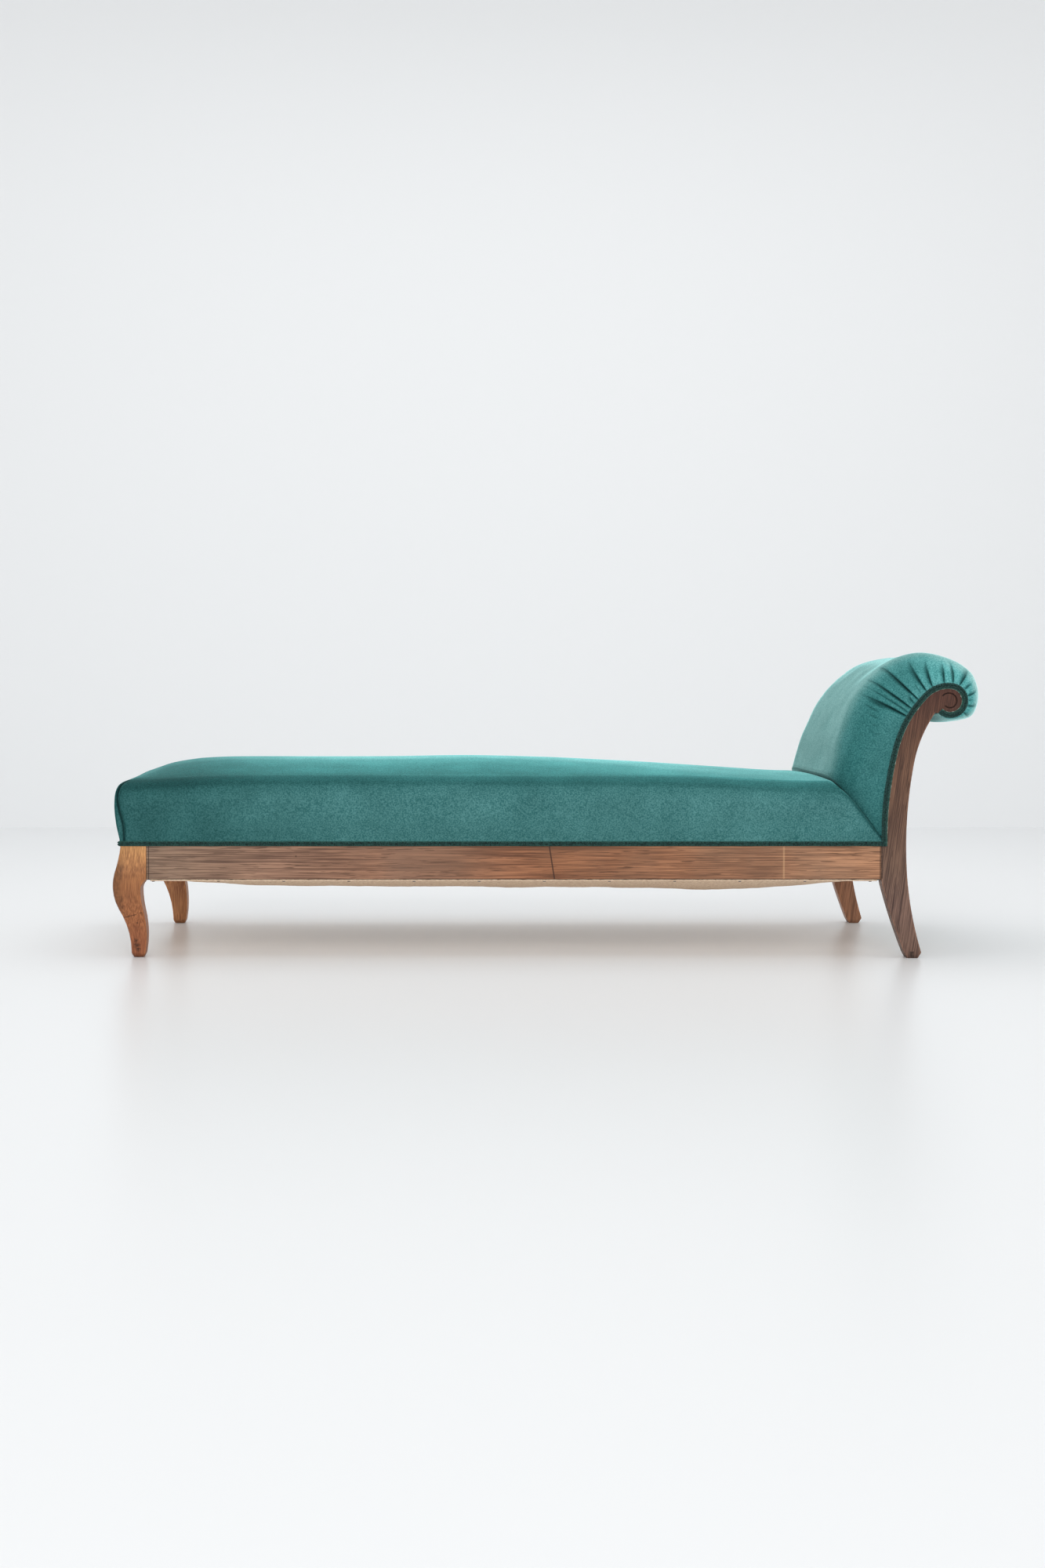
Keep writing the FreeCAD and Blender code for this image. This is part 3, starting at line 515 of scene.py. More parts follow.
def velvet(name, painted_light_stops, sheen):
    """Cotton velvet with painted sheen and shade: its colour is scaled by the slant it is seen at, along the
    stops, and by the painted shade held on its points.
    """
    material, tree, skin, place = new_material(name, 0.9, 0.1)
    pile = place_group(tree, nap, Place=place)
    # Painted sheen and shade by the slant the surface is seen at.
    slant = tree.put("LayerWeight", 0.5).outputs["Facing"]
    turned = tree.tones(slant, painted_light_stops, "EASE")
    colour = tree.blend(pile["Light"], velvet_deep, velvet_pale)
    shade = tree.put("Attribute", attribute_name="shade").outputs["Color"]
    for factor in (turned, shade):
        colour = tree.blend(1.0, colour, factor, "MULTIPLY")
    tree.feed(skin["Base Color"], colour)
    skin["Sheen Weight"].default_value = sheen
    skin["Sheen Roughness"].default_value = 0.3
    skin["Sheen Tint"].default_value = (0.55, 0.9, 0.86, 1)
    tree.feed(skin["Normal"], tree.bump(pile["Height"], 0.4, 0.0006))
    return material


# Two copies of one velvet, each with stops fitted to how the light falls on the seat or on the headrest:
# painted sheen at grazing slants, painted shade at middle ones.
seat_painted_light_velvet = velvet("teal_velvet_seat_painted_light",
                   [(0.0, (0.46, 0.42, 0.42)), (0.08, (0.37, 0.37, 0.37)), (0.3, (0.21, 0.27, 0.27)),
                    (0.6, (0.21, 0.32, 0.32)), (0.72, (0.22, 0.37, 0.37)), (0.80, (0.36, 0.56, 0.56)),
                    (0.87, (0.58, 0.77, 0.77)), (0.93, (1.40, 1.22, 1.22)), (1.0, (2.3, 1.7, 1.7))],
                   sheen=0.25)
head_painted_light_velvet = velvet("teal_velvet_head_painted_light",
                   [(0.0, (0.42, 0.46, 0.46)), (0.1, (0.33, 0.41, 0.41)), (0.3, (0.30, 0.39, 0.39)),
                    (0.5, (0.47, 0.50, 0.50)), (0.7, (0.77, 0.61, 0.60)), (0.85, (1.25, 0.77, 0.76)),
                    (1.0, (3.0, 1.75, 1.75))], sheen=0.5)

seat_side = through([(336, 246), (336, 257), (340.5, 285), (343, 320), (341.5, 345), (335, 362),
                     (322, 375), (302, 384), (280, 389)])
seat_foot = through([(-936.5, 246), (-936.5, 257), (-944, 290), (-948.3, 325), (-946.5, 356), (-937, 379),
                     (-912, 398)])
seat_edge_x, seat_edge_y, seat_edge_z = -912.0, 280.0, 389.0
seat_columns, side_rows, top_rows = 260, 34, 84
foot_columns, pleat_columns = 108, 12
seat_crown = profile([(-930, 392), (-912, 398.5), (-894, 405), (-870, 413), (-835, 419.5), (-798, 424),
                      (-724, 427), (-503, 427), (-356, 427.5), (-209, 430), (-135, 429.5), (12, 425.5),
                      (86, 422), (233, 414), (380, 404), (454, 399), (528, 393.5), (620, 388)])
pleat_line = profile([(246, -926.5), (272, -926.5), (292, -928), (311, -933), (329, -938), (347, -941),
                      (364, -940), (376, -935), (384, -925), (389, -912)])
crease_low_x, crease_low_z = 718.0, 263.5
crease_angle = math.radians(37.3)
crease_lean = math.tan(crease_angle)
roll_lift = profile([(-912, 0.0), (-870, 2.0), (-800, 6.0), (-700, 9.5), (-420, 10.0), (0, 8.5), (250, 7.0),
                     (374, 3.0), (507, -4.0), (640, -6.0)])


def crease_x(z):
    """Where the seat meets the headrest at a height."""
    return crease_low_x - crease_lean * (z - crease_low_z)


def corner_radius(q):
    """How round the foot corner is at a height share: tight low down, rounder above, sharp at the top."""
    return (2.5 + 14.5 * clip((q - 0.1) / 0.45)) * (1 - q ** 5) + 0.01


def side_half(q, x):
    """Half-width of the seat at a height share and a place along it, rounded at the foot corner."""
    wide = seat_side(q)[0]
    round_by = corner_radius(q)
    over = min(max(seat_foot(q)[0] + round_by - x, 0.0), round_by)
    return wide - round_by + math.sqrt(round_by ** 2 - over ** 2)


def tuck(distance, reach=10.0, deep=8.0):
    """How far the cloth sinks as it comes to the crease."""
    e = clip(1 - distance / reach)
    return deep * (1 - math.sqrt(1 - e * e))


def corner_sink(distance, q):
    """How deep the cloth goes in at the foot corner, by distance from the pleat."""
    deep = 7.5 * (1 - q ** 8) * (0.05 + 0.95 * math.sin(math.pi * clip(q)) ** 0.7)
    return deep * math.exp(-distance / 3.6)


def along_seat(u):
    """Share of the seat's length for a column, with the columns closest by the foot corner."""
    return 0.22 * u + 0.78 * u ** 1.35


def near_side_panel(u, q):
    """The long side, from the pleat to the crease; it rises with the roll and tucks in at the crease."""
    wide, z = seat_side(q)
    start = pleat_line(z) if q < 1 else seat_edge_x
    lifted = clip((z - 300.0) / 75.0)
    turned = clip((z - 345.0) / 44.0)
    held = clip((z - 262.0) / 22.0)
    z += roll_lift(start + (crease_x(z) - start) * along_seat(u)) * lifted * lifted * (3 - 2 * lifted)
    end = crease_x(z)
    x = start + (end - start) * along_seat(u)
    tucked = tuck(end - x) * held
    sink = corner_sink(x - start, q)
    y = side_half(q, x) - tucked * (1 - turned) - 0.9 * sink
    return Vector((x + 0.45 * sink, -y, z - tucked * turned))


def top_panel(u, v):
    """The crowned top, from the foot end's roll to the crease."""
    y = seat_edge_y * (2 * v - 1)
    bow = 1 - (y / seat_edge_y) ** 2
    edge_end = crease_x(seat_edge_z)
    edge_z = seat_edge_z + roll_lift(seat_edge_x + (edge_end - seat_edge_x) * along_seat(u))
    end = crease_x(edge_z - 0.5 * bow)
    x = seat_edge_x + (end - seat_edge_x) * along_seat(u)
    z = edge_z + (seat_crown(x) - edge_z) * bow
    return Vector((x, y, z - tuck(end - x)))


def head_end(u, q):
    """The seat's end under the headrest, where the cover closes along the crease."""
    side, corner, rim = near_side_panel(1.0, q), near_side_panel(1.0, 1.0), top_panel(1.0, u)
    across = 1 - 2 * u
    raised = rim - Vector((corner.x, corner.y * across, corner.z))
    return Vector((side.x, side.y * across, side.z)) + raised * q ** 4


def foot_outline(q):
    """At one height: the line from the near pleat round the corner to the foot end's flat face, where that
    face starts and lies, and the heights of the side and of the face's middle."""
    (wide, z), (x_face, z_face) = seat_side(q), seat_foot(q)
    round_by = corner_radius(q)
    start = pleat_line(z) if q < 1 else seat_edge_x
    line = []
    for k in range(pleat_columns):
        x = start + (x_face - start) * math.sin(math.pi / 2 * k / pleat_columns)
        line.append(Vector((x, -side_half(q, x))))
    line.append(Vector((x_face, -side_half(q, x_face))))
    return line, -(wide - round_by), x_face, z, z_face


def foot_panel(v, q):
    """The foot end: a narrow strip on the side as far as the pleat, the rounded corner, the flat face."""
    wrap, y_start, x_face, z_side, z_face = foot_outline(q)
    strip = pleat_columns / foot_columns
    mirrored = v > 0.5
    v = 1 - v if mirrored else v
    if v < strip - 1e-6:
        share = v / strip
        k = min(int(share * pleat_columns), pleat_columns - 1)
        a, b = wrap[k], wrap[k + 1]
        x, y = a + (b - a) * (share * pleat_columns - k)
        run = (Vector((x, y)) - wrap[0]).length
        sink = corner_sink(run, q)
        x, y = x + 0.45 * sink, y + 0.9 * sink
    else:
        share = (v - strip) / (0.5 - strip)
        x, y = x_face, y_start * (1 - share)
        run = abs(y - wrap[0].y)
        if q < 1:
            x += 0.45 * corner_sink(run + 12, q)
    bow = 1 - (y / y_start) ** 2 if abs(y) < abs(y_start) else 0.0
    z = z_side + (z_face - z_side) * bow
    return Vector((x, -y if mirrored else y, z))


def seat_shade(p):
    """Painted shade on the pile: darker toward the foot end, on top by the headrest, in a band along
    the roll, in the corner pleats and at the crease; a little lighter toward the head; a little uneven.
    """
    toward_foot = clip((-380.0 - p.x) / 480.0)
    # Painted shade on the top at the foot end.
    slack = clip((-560.0 - p.x) / 300.0) * clip((p.z - 355.0) / 38.0)
    value = 1.0 - 0.36 * toward_foot ** 1.2 + 0.08 * clip((p.x - 200) / 400)
    value *= 1 - 0.42 * slack
    by_head = clip((p.x - 220.0) / 180.0) * clip((290.0 - abs(p.y)) / 20.0)
    value *= 1 - 0.27 * by_head
    roll_z = 379.0 + roll_lift(p.x) + 4.0 * uneven(p.x / 120, 2.0, 0)
    value *= 1 - 0.10 * math.exp(-((p.z - roll_z) / 15.0) ** 2) * clip((abs(p.y) - 240.0) / 50.0)
    fold = min(abs(p.x - pleat_line(p.z)), 30.0) if p.z < 386 and abs(p.y) > 280 else 30.0
    value *= 1 - 0.8 * math.exp(-(fold / 2.8) ** 2)
    value *= 1 - 0.5 * math.exp(-max(crease_x(p.z) - p.x, 0.0) / 5.0)
    return max(value * (1 + 0.14 * uneven(p.x / 70, p.y / 70, p.z / 60)), 0.05)


bm = bmesh.new()
panel(bm, seat_columns, side_rows, near_side_panel, seat_shade)
panel(bm, seat_columns, side_rows, lambda u, q: near_side_panel(u, q) * Vector((1, -1, 1)), seat_shade)
panel(bm, seat_columns, top_rows, top_panel, seat_shade)
panel(bm, foot_columns, side_rows, foot_panel, seat_shade)
panel(bm, top_rows, side_rows, head_end, seat_shade)
bmesh.ops.remove_doubles(bm, verts=bm.verts, dist=0.05)
bmesh.ops.recalc_face_normals(bm, faces=bm.faces)
bmesh.ops.holes_fill(bm, edges=[e for e in bm.edges if e.is_boundary], sides=0)
bmesh.ops.recalc_face_normals(bm, faces=bm.faces)
seat_velvet = soft_piece("seat_velvet", bm, seat_painted_light_velvet)

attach(seat_velvet, "root")
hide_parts("seat_cover", "seat_stuffing")


# Headrest. Velvet over a thick pad on the stiles' front edges, carried over the scroll and under it.
# At each end the spare cloth is gathered into radiating pleats that run from the gimp outward.


def front_edge(distance):
    """The stile's front edge, from the crease's low end (0) up to the scroll's tip, straight below that."""
    if distance < 0:
        return crease_low_x, crease_low_z + distance, 0.0
    return along_arcs((crease_low_x, crease_low_z), 0.0, front_arcs, distance)


arc_starts = [0.0]
for radius, turn in front_arcs:
    arc_starts.append(arc_starts[-1] + radius * math.radians(turn))
pad_marks = [0.0, arc_starts[1] * 10.5 / 14.3, arc_starts[1]]
for low, high in zip(arc_starts[1:], arc_starts[2:]):
    pad_marks += [(low + high) / 2, high]
# The pad at those marks, all but the first: its thickness, how much flatter it is in the middle, how much
# fuller where it is gathered. Then how square its section is, and the rows of cloth between the marks.
pad_full = [105.0, 102.0, 94.0, 77.0, 63.0, 60.0, 58.0, 52.0, 45.0, 17.0, 10.0, 4.0]
pad_slack = [2.0, 2.0, -2.0, -6.0, -3.0, 2.0, 6.0, 5.0, 2.0, 1.0, 0.0, 0.0]
pad_gathered = [0.0, 3.0, 10.0, 22.0, 22.0, 8.0, 6.0, 2.0, 0.0, 0.0, 0.0, 0.0]
pad_square = [9.0, 8.5, 6.5, 5.0] + [4.0] * 9
pad_rows = [22, 14, 66, 80, 42, 42, 30, 30, 26, 22, 12, 10]
pad_edge, pad_tuck, crease_reach = 335.0, 9.0, 164.0
flat_half, gather_y, gather_inside, gather_outside = 215.0, 262.0, 85.0, 60.0


def pad_line(y):
    """Section of the headrest at one place across the couch, and how thick it is at each mark."""
    full = [math.sqrt(max(1 - (abs(y) / pad_edge) ** square, 0.0009)) for square in pad_square]
    middle = 1 / (1 + (abs(y) / flat_half) ** 8)
    spread = gather_inside if abs(y) < gather_y else gather_outside
    gathered = math.exp(-((abs(y) - gather_y) / spread) ** 2)
    gathered *= 1.0 if y < 0 else 0.2
    reach = crease_reach * full[0]
    line = [(crease_low_x - reach * math.sin(crease_angle), crease_low_z + reach * math.cos(crease_angle))]
    thick = [0.0]
    for mark, most, slack, extra, share in zip(pad_marks[1:], pad_full, pad_slack, pad_gathered, full[1:]):
        x, z, heading = front_edge(mark)
        thick.append((most + extra * gathered) * share - slack * middle)
        line.append((x - thick[-1] * math.cos(heading), z + thick[-1] * math.sin(heading)))
    return spans(line), thick


# Each pleat: where it starts and ends along the stile's edge, how far out it runs, how deep it is.
pleats = [(272, 272, 82, 5.5), (281, 285, 96, 2.6), (292, 299, 99, 5.0), (304, 307, 22, 3.0),
          (316, 329, 98, 5.5), (330, 334, 30, 1.5), (342, 353, 64, 5.0), (358, 370, 50, 5.0),
          (385, 388, 42, 4.5), (404, 400, 46, 4.5), (419, 421, 47, 4.5), (433, 431, 26, 3.0),
          (448, 443, 30, 3.8), (458, 456, 18, 2.0), (469, 465, 27, 3.8), (486, 484, 20, 3.2)]
# Each pucker: its place along the edge, how far out its middle is, how deep it is.
puckers = [(196, 36, 1.2), (212, 44, 1.5), (226, 52, 1.6), (240, 60, 1.8), (252, 66, 2.0), (262, 60, 1.5)]


def pleat_sink(distance, out, side):
    """How deep the cloth folds in, at a distance along the edge and out from it."""
    sink = 0.0
    for start, end, reach, deep in pleats:
        q = out / reach
        if q > 1.25:
            continue
        swing = math.sin(start * 1.7 + side) * 2.0 * q
        off = distance - (start + (end - start) * q ** 1.3 + swing)
        wide = 1.0 + 1.4 * q
        fade = (1 - (q / 1.25) ** 2) * (0.55 + 0.45 * math.exp(-((q - 0.45) / 0.5) ** 2))
        sharp = wide if off > 0 else 2.2 * wide
        sink += deep * fade * math.exp(-abs(off) / sharp)
        sink -= 0.38 * deep * fade * math.exp(-((off - 3.2 * wide) / (2.4 * wide)) ** 2)
    for start, out_middle, deep in puckers:
        off = distance - start - 0.10 * (out - out_middle)
        sink += deep * math.exp(-((off - 3) / 3.0) ** 2) * math.exp(-((out - out_middle) / 16.0) ** 2) * 0.6
    return sink


even_share, even_half, round_share = 0.2, 150.0, 0.95


def pad_column(v):
    """Place across the couch for a column, and how far that column is tucked under the gimp."""
    w = abs(2 * v - 1)
    if w < even_share:
        y, under = even_half * w / even_share, 0.0
    elif w < round_share:
        low = math.asin((even_half / pad_edge) ** 2)
        turn = low + (math.pi / 2 - low) * (w - even_share) / 0.75
        y, under = pad_edge * math.sqrt(math.sin(turn)), 0.0
    else:
        y, under = pad_edge + 1.2 * min((w - round_share) / 0.01, 1.0), pad_tuck * (w - round_share) / 0.05
    return math.copysign(y, 2 * v - 1), under


def pad_row(u):
    """Which span of the headrest's section a row lies in, and how far along it."""
    row = round(u * sum(pad_rows), 3)
    span = 0
    while span < len(pad_rows) - 1 and row > pad_rows[span]:
        row -= pad_rows[span]
        span += 1
    return span, row / pad_rows[span]


def head_shade(p, fold):
    """Painted shade on the pile: darker low on the flanks, by the seat and in the pleats; painted light high
    on the flanks by the scroll; a little uneven.
    """
    flank = clip((abs(p.y) - 215.0) / 100.0)
    low = clip((540.0 - p.z) / 240.0)
    value = 1.0 - 0.24 * flank * low
    value *= 1 + flank * clip((p.x - 770.0) / 90.0) * (1 - low)
    seam = (p.x - crease_x(p.z)) if p.z < 400 else 40.0
    value *= 1 - 0.32 * math.exp(-max(seam, 0.0) / 20.0)
    value *= math.exp(-max(fold - 0.5, 0.0) * 0.68) * (1 + 0.10 * min(max(-fold, 0.0), 2.0))
    return max(value * (1 + 0.10 * noise.noise(p / 60.0)), 0.05)


head_lines = {}


def head_panel(u, v):
    """The headrest's cover, pleated, with its edge tucked under the gimp, and the painted shade on its pile.
    """
    y, under = pad_column(v)
    key = round(v, 6)
    if key not in head_lines:
        head_lines[key] = pad_line(y)
    line, thick = head_lines[key]
    span, t = pad_row(u)
    x, z = line(span, t)
    mark = pad_marks[span] + (pad_marks[span + 1] - pad_marks[span]) * t
    out = thick[span] + (thick[span + 1] - thick[span]) * t
    edge_x, edge_z, heading = front_edge(mark)
    side = 1.0 if y > 0 else 0.0
    stay = 1 / (1 + (max(235.0 - abs(y), 0.0) / 22.0) ** 2) * min(span, 1.0)
    fold = pleat_sink(mark, out, side) * stay if stay > 0.03 else 0.0
    fold *= 0.4 + 0.6 * min(out / 5.0, 1.0)
    sink = fold + 1.1 * uneven(x / 60, y / 60, z / 60) * min(out / 20.0, 1.0)
    flank = min(abs(y) / pad_edge, 1.0) ** 5
    radial, inward = sink * (1 - 0.6 * flank), sink * 0.85 * flank
    x += radial * math.cos(heading)
    z -= radial * math.sin(heading)
    if under > 0:
        back = under / pad_tuck
        x = x * (1 - back) + (edge_x + pad_tuck * math.cos(heading)) * back
        z = z * (1 - back) + (edge_z - pad_tuck * math.sin(heading)) * back
        inward = 0.0
    spot = Vector((x, y - math.copysign(inward, y), z))
    return spot, head_shade(spot, fold)


def pad_underside(u, v):
    """The lining under the pad, hidden in the frame."""
    span, t = pad_row(u)
    x, z, heading = front_edge(pad_marks[span] + (pad_marks[span + 1] - pad_marks[span]) * t)
    y = pad_column(round(v))[0] if abs(v - 0.5) > 0.25 else 0.0
    return Vector((x + pad_tuck * math.cos(heading), y, z - pad_tuck * math.sin(heading)))


bm = bmesh.new()
panel(bm, sum(pad_rows), 160, head_panel)
panel(bm, sum(pad_rows), 2, pad_underside)
bmesh.ops.remove_doubles(bm, verts=bm.verts, dist=0.2)
bmesh.ops.holes_fill(bm, edges=[e for e in bm.edges if e.is_boundary], sides=0)
bmesh.ops.recalc_face_normals(bm, faces=bm.faces)
head_velvet = soft_piece("head_velvet", bm, head_painted_light_velvet)

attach(head_velvet, "root")
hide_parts("head_cover", "head_stuffing")


# Outside back. Velvet drawn flat over the back of the headrest between the stiles and tacked to the rails.
# It follows the stiles' back edges, a little inside them.

back_foot, back_heading = (806.8, 12.0), -17.04
back_arcs = [(762.7, 13.9), (970.8, 13.6), (287.0, 24.2)]
back_start, back_end, back_half = 164.0, 536.0, 299.0


def back_edge(distance):
    """The stile's back edge, by its length from a little above the floor up to the scroll."""
    return along_arcs(back_foot, back_heading, back_arcs, distance)


def back_panel(u, v):
    y = back_half * (2 * v - 1)
    x, z, heading = back_edge(back_start + (back_end - back_start) * u)
    inside = 2.2 + 0.8 * math.sin(math.pi * v) ** 0.6 * math.sin(math.pi * u)
    inside += 0.4 * uneven(x / 90, y / 90, z / 90)
    return Vector((x - inside * math.cos(heading), y, z + inside * math.sin(heading)))


def stretched_cloth(name, bm, material, thick, node):
    """A tight sheet of even thickness in millimetres, in the place of one soft solid."""
    piece = soft_piece(name, bm, material)
    body = piece.modifiers.new("cloth", "SOLIDIFY")
    body.thickness, body.offset = thick / 1000, 0.0
    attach(piece, "root")
    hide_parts(node)


bm = bmesh.new()
panel(bm, 110, 100, back_panel, lambda p: 0.9 + 0.1 * noise.noise(p / 60.0))
stretched_cloth("back_velvet", bm, seat_painted_light_velvet, 1.8, "outside_back_cover")


# Hessian bottom: plain-woven jute tacked under the rails, sagging between them with age.
# The sag is uneven and the raw edge shows as a pale, slightly frayed line under the near rail.

def weave_group():
    """Plain weave: over-and-under height and a share of thread colour, in metres of cloth."""
    group, tree, entry, leave = new_group("plain_weave", [("Place", None), ("Pitch", 0.0016)],
                                          ["Height", "Thread"])
    warp = tree.put("TexNoise", entry["Place"])
    warp.inputs["Scale"].default_value = 35
    drift = tree.put("VectorMath", warp.outputs["Color"], (0.004, 0.004, 0.004), entry["Place"],
                     operation="MULTIPLY_ADD").outputs[0]
    axes = tree.put("SeparateXYZ", drift).outputs
    turns = [tree.calc("DIVIDE", axes[axis], entry["Pitch"]) for axis in ("X", "Y")]
    waves = [tree.calc("SINE", tree.calc("MULTIPLY", turn, math.pi)) for turn in turns]
    ridge = tree.calc("MAXIMUM", *[tree.calc("ABSOLUTE", wave) for wave in waves])
    over = tree.calc("MULTIPLY_ADD", tree.calc("MULTIPLY", *waves), 0.15, 0.15)
    height = tree.calc("MULTIPLY_ADD", ridge, 0.7, over)
    tree.feed(leave["Height"], height)
    slub = tree.spots(entry["Place"], 160, 3)
    tree.feed(leave["Thread"], tree.calc("MULTIPLY", slub, height))
    return group


plain_weave = weave_group()


def woven(name, dark, light, pitch):
    material, tree, skin, place = new_material(name, 0.95, 0.1)
    weave = place_group(tree, plain_weave, Place=place, Pitch=pitch)
    colour = tree.blend(tree.put("MapRange", weave["Thread"], 0.1, 0.5).outputs[0], dark, light)
    tree.feed(skin["Base Color"], colour)
    tree.feed(skin["Normal"], tree.bump(weave["Height"], 0.7, 0.0008))
    return material


jute = woven("jute_hessian", (0.62, 0.40, 0.27), (1.0, 0.80, 0.60), 0.0016)
hem_start, hem_end, hem_half, hem_low = -928.0, 762.0, 331.0, 167.2
leg_end, leg_notch, stile_end, stile_notch = -872.0, 287.0, 713.0, 296.0
hessian_sag = profile([(-928, 0.0), (-906, 1.0), (-850, 9), (-800, 21), (-720, 29), (-650, 33), (-430, 36),
                       (0, 39), (250, 41), (330, 45), (400, 44), (455, 42), (520, 38), (630, 24), (700, 11),
                       (738, 1.0), (762, 0.0)])


def hessian_place(u, v):
    """The bottom, cut round the legs and stiles, sagging from its hem, which lies under the rails."""
    x = hem_start + (hem_end - hem_start) * u
    y = hem_half * (2 * v - 1)
    notch = leg_notch if x < leg_end else (stile_notch if x > stile_end else hem_half)
    y = min(max(y, -notch), notch)
    across = 1 - min(abs(y) / 306.0, 1.0) ** 2.2
    sag = hessian_sag(x) * across
    ripple = 2.2 * uneven(x / 70, y / 130, 0.3) + 0.8 * uneven(x / 19, y / 60, 0.8)
    hem = clip((abs(y) - 325.5) / 2.5)
    fray = uneven(x / 13, 1.0, 2.0) + 0.6 * uneven(x / 4, 5.0, 2.0)
    lift = hem * (3.4 - 1.4 * max(fray, 0.0))
    return Vector((x, y + 1.5 * hem * fray, hem_low + lift - sag - max(ripple * across, -sag)))


bm = bmesh.new()
panel(bm, 560, 132, hessian_place)
stretched_cloth("bottom_cloth", bm, jute, 1.0, "bottom_hessian")


# Gimp: a dark green braid of two plied cords side by side on a narrow woven band, glued over the tacks.
# It runs along both rails and the foot end, up both stiles and round their scrolls, and up the outside back.

def fibre_group():
    """Twisted yarn seen close: light and dark fibres and their height."""
    group, tree, entry, leave = new_group("fibre", [("Place", None), ("Fineness", 900.0)],
                                          ["Light", "Height"])
    spots = tree.put("TexNoise", entry["Place"])
    tree.feed(spots.inputs["Scale"], entry["Fineness"])
    spots.inputs["Detail"].default_value = 2
    tree.feed(leave["Light"], tree.put("MapRange", spots.outputs["Fac"], 0.35, 0.65).outputs[0])
    tree.feed(leave["Height"], spots.outputs["Fac"])
    return group


fibre = fibre_group()


def yarn(name, dark, light, fineness=900.0, sheen=0.15):
    material, tree, skin, place = new_material(name, 0.75, 0.25)
    thread = place_group(tree, fibre, Place=place, Fineness=fineness)
    tree.feed(skin["Base Color"], tree.blend(thread["Light"], dark, light))
    skin["Sheen Weight"].default_value = sheen
    tree.feed(skin["Normal"], tree.bump(thread["Height"], 0.5, 0.0004))
    return material


green_cord = yarn("green_cord", (0.001, 0.008, 0.008), (0.026, 0.095, 0.083), 380.0, 0.05)
green_band = yarn("green_band", (0.010, 0.050, 0.040), (0.035, 0.125, 0.095), 420.0, 0.05)
pale_glue = yarn("pale_glue", (0.30, 0.33, 0.29), (0.62, 0.62, 0.56), 300.0, 0.0)


def cords(lines, radius):
    """Round cords along lines of points, as one mesh in millimetres."""
    curve = bpy.data.curves.new("cord", "CURVE")
    curve.dimensions = "3D"
    curve.bevel_depth = radius
    curve.bevel_resolution = 1
    curve.use_fill_caps = True
    for line in lines:
        spline = curve.splines.new("POLY")
        spline.points.add(len(line) - 1)
        for dot, place in zip(spline.points, line):
            dot.co = (*place, 1)
    holder = bpy.data.objects.new("cord", curve)
    bpy.context.scene.collection.objects.link(holder)
    mesh = bpy.data.meshes.new_from_object(holder.evaluated_get(bpy.context.evaluated_depsgraph_get()))
    bpy.data.objects.remove(holder)
    return mesh


def braid(bm, length, at, wide, cord_offset, seed, glue=0.0):
    """Adds one run of braid along a path: at(distance) gives place, the way across and the way out."""
    pitch, steps = 7.0, 8
    count = round(length / pitch * steps)
    cord_radius = wide * 0.105
    twist_radius = wide * 0.095
    lines = []
    for cord, hand in ((-1, 1), (1, -1)):
        for strand in (0, 1):
            line = []
            for k in range(count + 1):
                distance = length * k / count
                place, across, out = at(distance)
                turn = hand * 2 * math.pi * distance / pitch + math.pi * strand
                wander = 0.35 * uneven(distance / 45, seed, 0)
                aside = cord_offset + cord * wide * 0.21 + twist_radius * math.cos(turn) + wander
                rise = 0.6 + 0.8 * cord_radius + 0.5 * twist_radius * (1 + math.sin(turn))
                line.append(place + across * aside + out * rise)
            lines.append(line)
    old = set(bm.faces)
    bm.from_mesh(cords(lines, cord_radius))
    for face in bm.faces:
        if face not in old:
            face.material_index = 0
    ribs = round(length / 1.6)

    def band_place(u, v):
        place, across, out = at(length * u)
        over = 2 * v - 1
        rise = 1.3 * (1 - over ** 6) + (0.12 if round(u * ribs) % 2 else -0.12)
        wander = 0.35 * uneven(length * u / 45, seed, 0)
        return place + across * (over * wide / 2 + wander) + out * rise
    for vert in panel(bm, ribs, 6, band_place):
        for face in vert.link_faces:
            face.material_index = 1

    def glue_place(u, v):
        place, across, out = at(length * u)
        bead = glue * max(0.25 + uneven(length * u / 9, seed, 4), 0.0)
        return place + across * (wide / 2 - 0.3 + v * bead) + out * (0.25 + 0.3 * math.sin(math.pi * v))
    if glue > 0:
        for vert in panel(bm, ribs, 3, glue_place):
            for face in vert.link_faces:
                face.material_index = 2


def gimp(name, node, runs, wide, cord_offset=0.0, seed=0, glue=0.0):
    """A finished length of gimp: one or more runs of braid with their materials."""
    bm = bmesh.new()
    for length, at in runs:
        braid(bm, length, at, wide, cord_offset, seed, glue)
    bmesh.ops.recalc_face_normals(bm, faces=bm.faces)
    piece = soft_piece(name, bm, green_cord)
    for material in (green_band, pale_glue):
        piece.data.materials.append(material)
    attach(piece, "root")
    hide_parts(node)


gimp_y, gimp_z = 335.6, 249.5
rail_gimp_start, rail_gimp_length, rail_gimp_wide = -938.0, 1655.0, 11.0
foot_gimp_x, foot_gimp_length = -937.2, 671.0
stile_gimp_low, stile_gimp_inside, stile_gimp_wide = 19.5, 6.6, 13.2
back_gimp_low, back_gimp_y, back_gimp_sunk, back_gimp_wide = 185.0, 294.5, 2.6, 10.4


def along_rail(side):
    out = Vector((0, side, 0))
    return lambda s: (Vector((rail_gimp_start + s, side * gimp_y, gimp_z)), Vector((0, 0, 1)), out)


def round_foot(s):
    return Vector((foot_gimp_x, foot_gimp_length / 2 - s, gimp_z)), Vector((0, 0, 1)), Vector((-1, 0, 0))


def up_stile(side):
    def at(s):
        x, z, heading = front_edge(s - stile_gimp_low)
        across = Vector((math.cos(heading), 0, -math.sin(heading)))
        return Vector((x, side * gimp_y, z)) + across * stile_gimp_inside, across, Vector((0, side, 0))
    return at


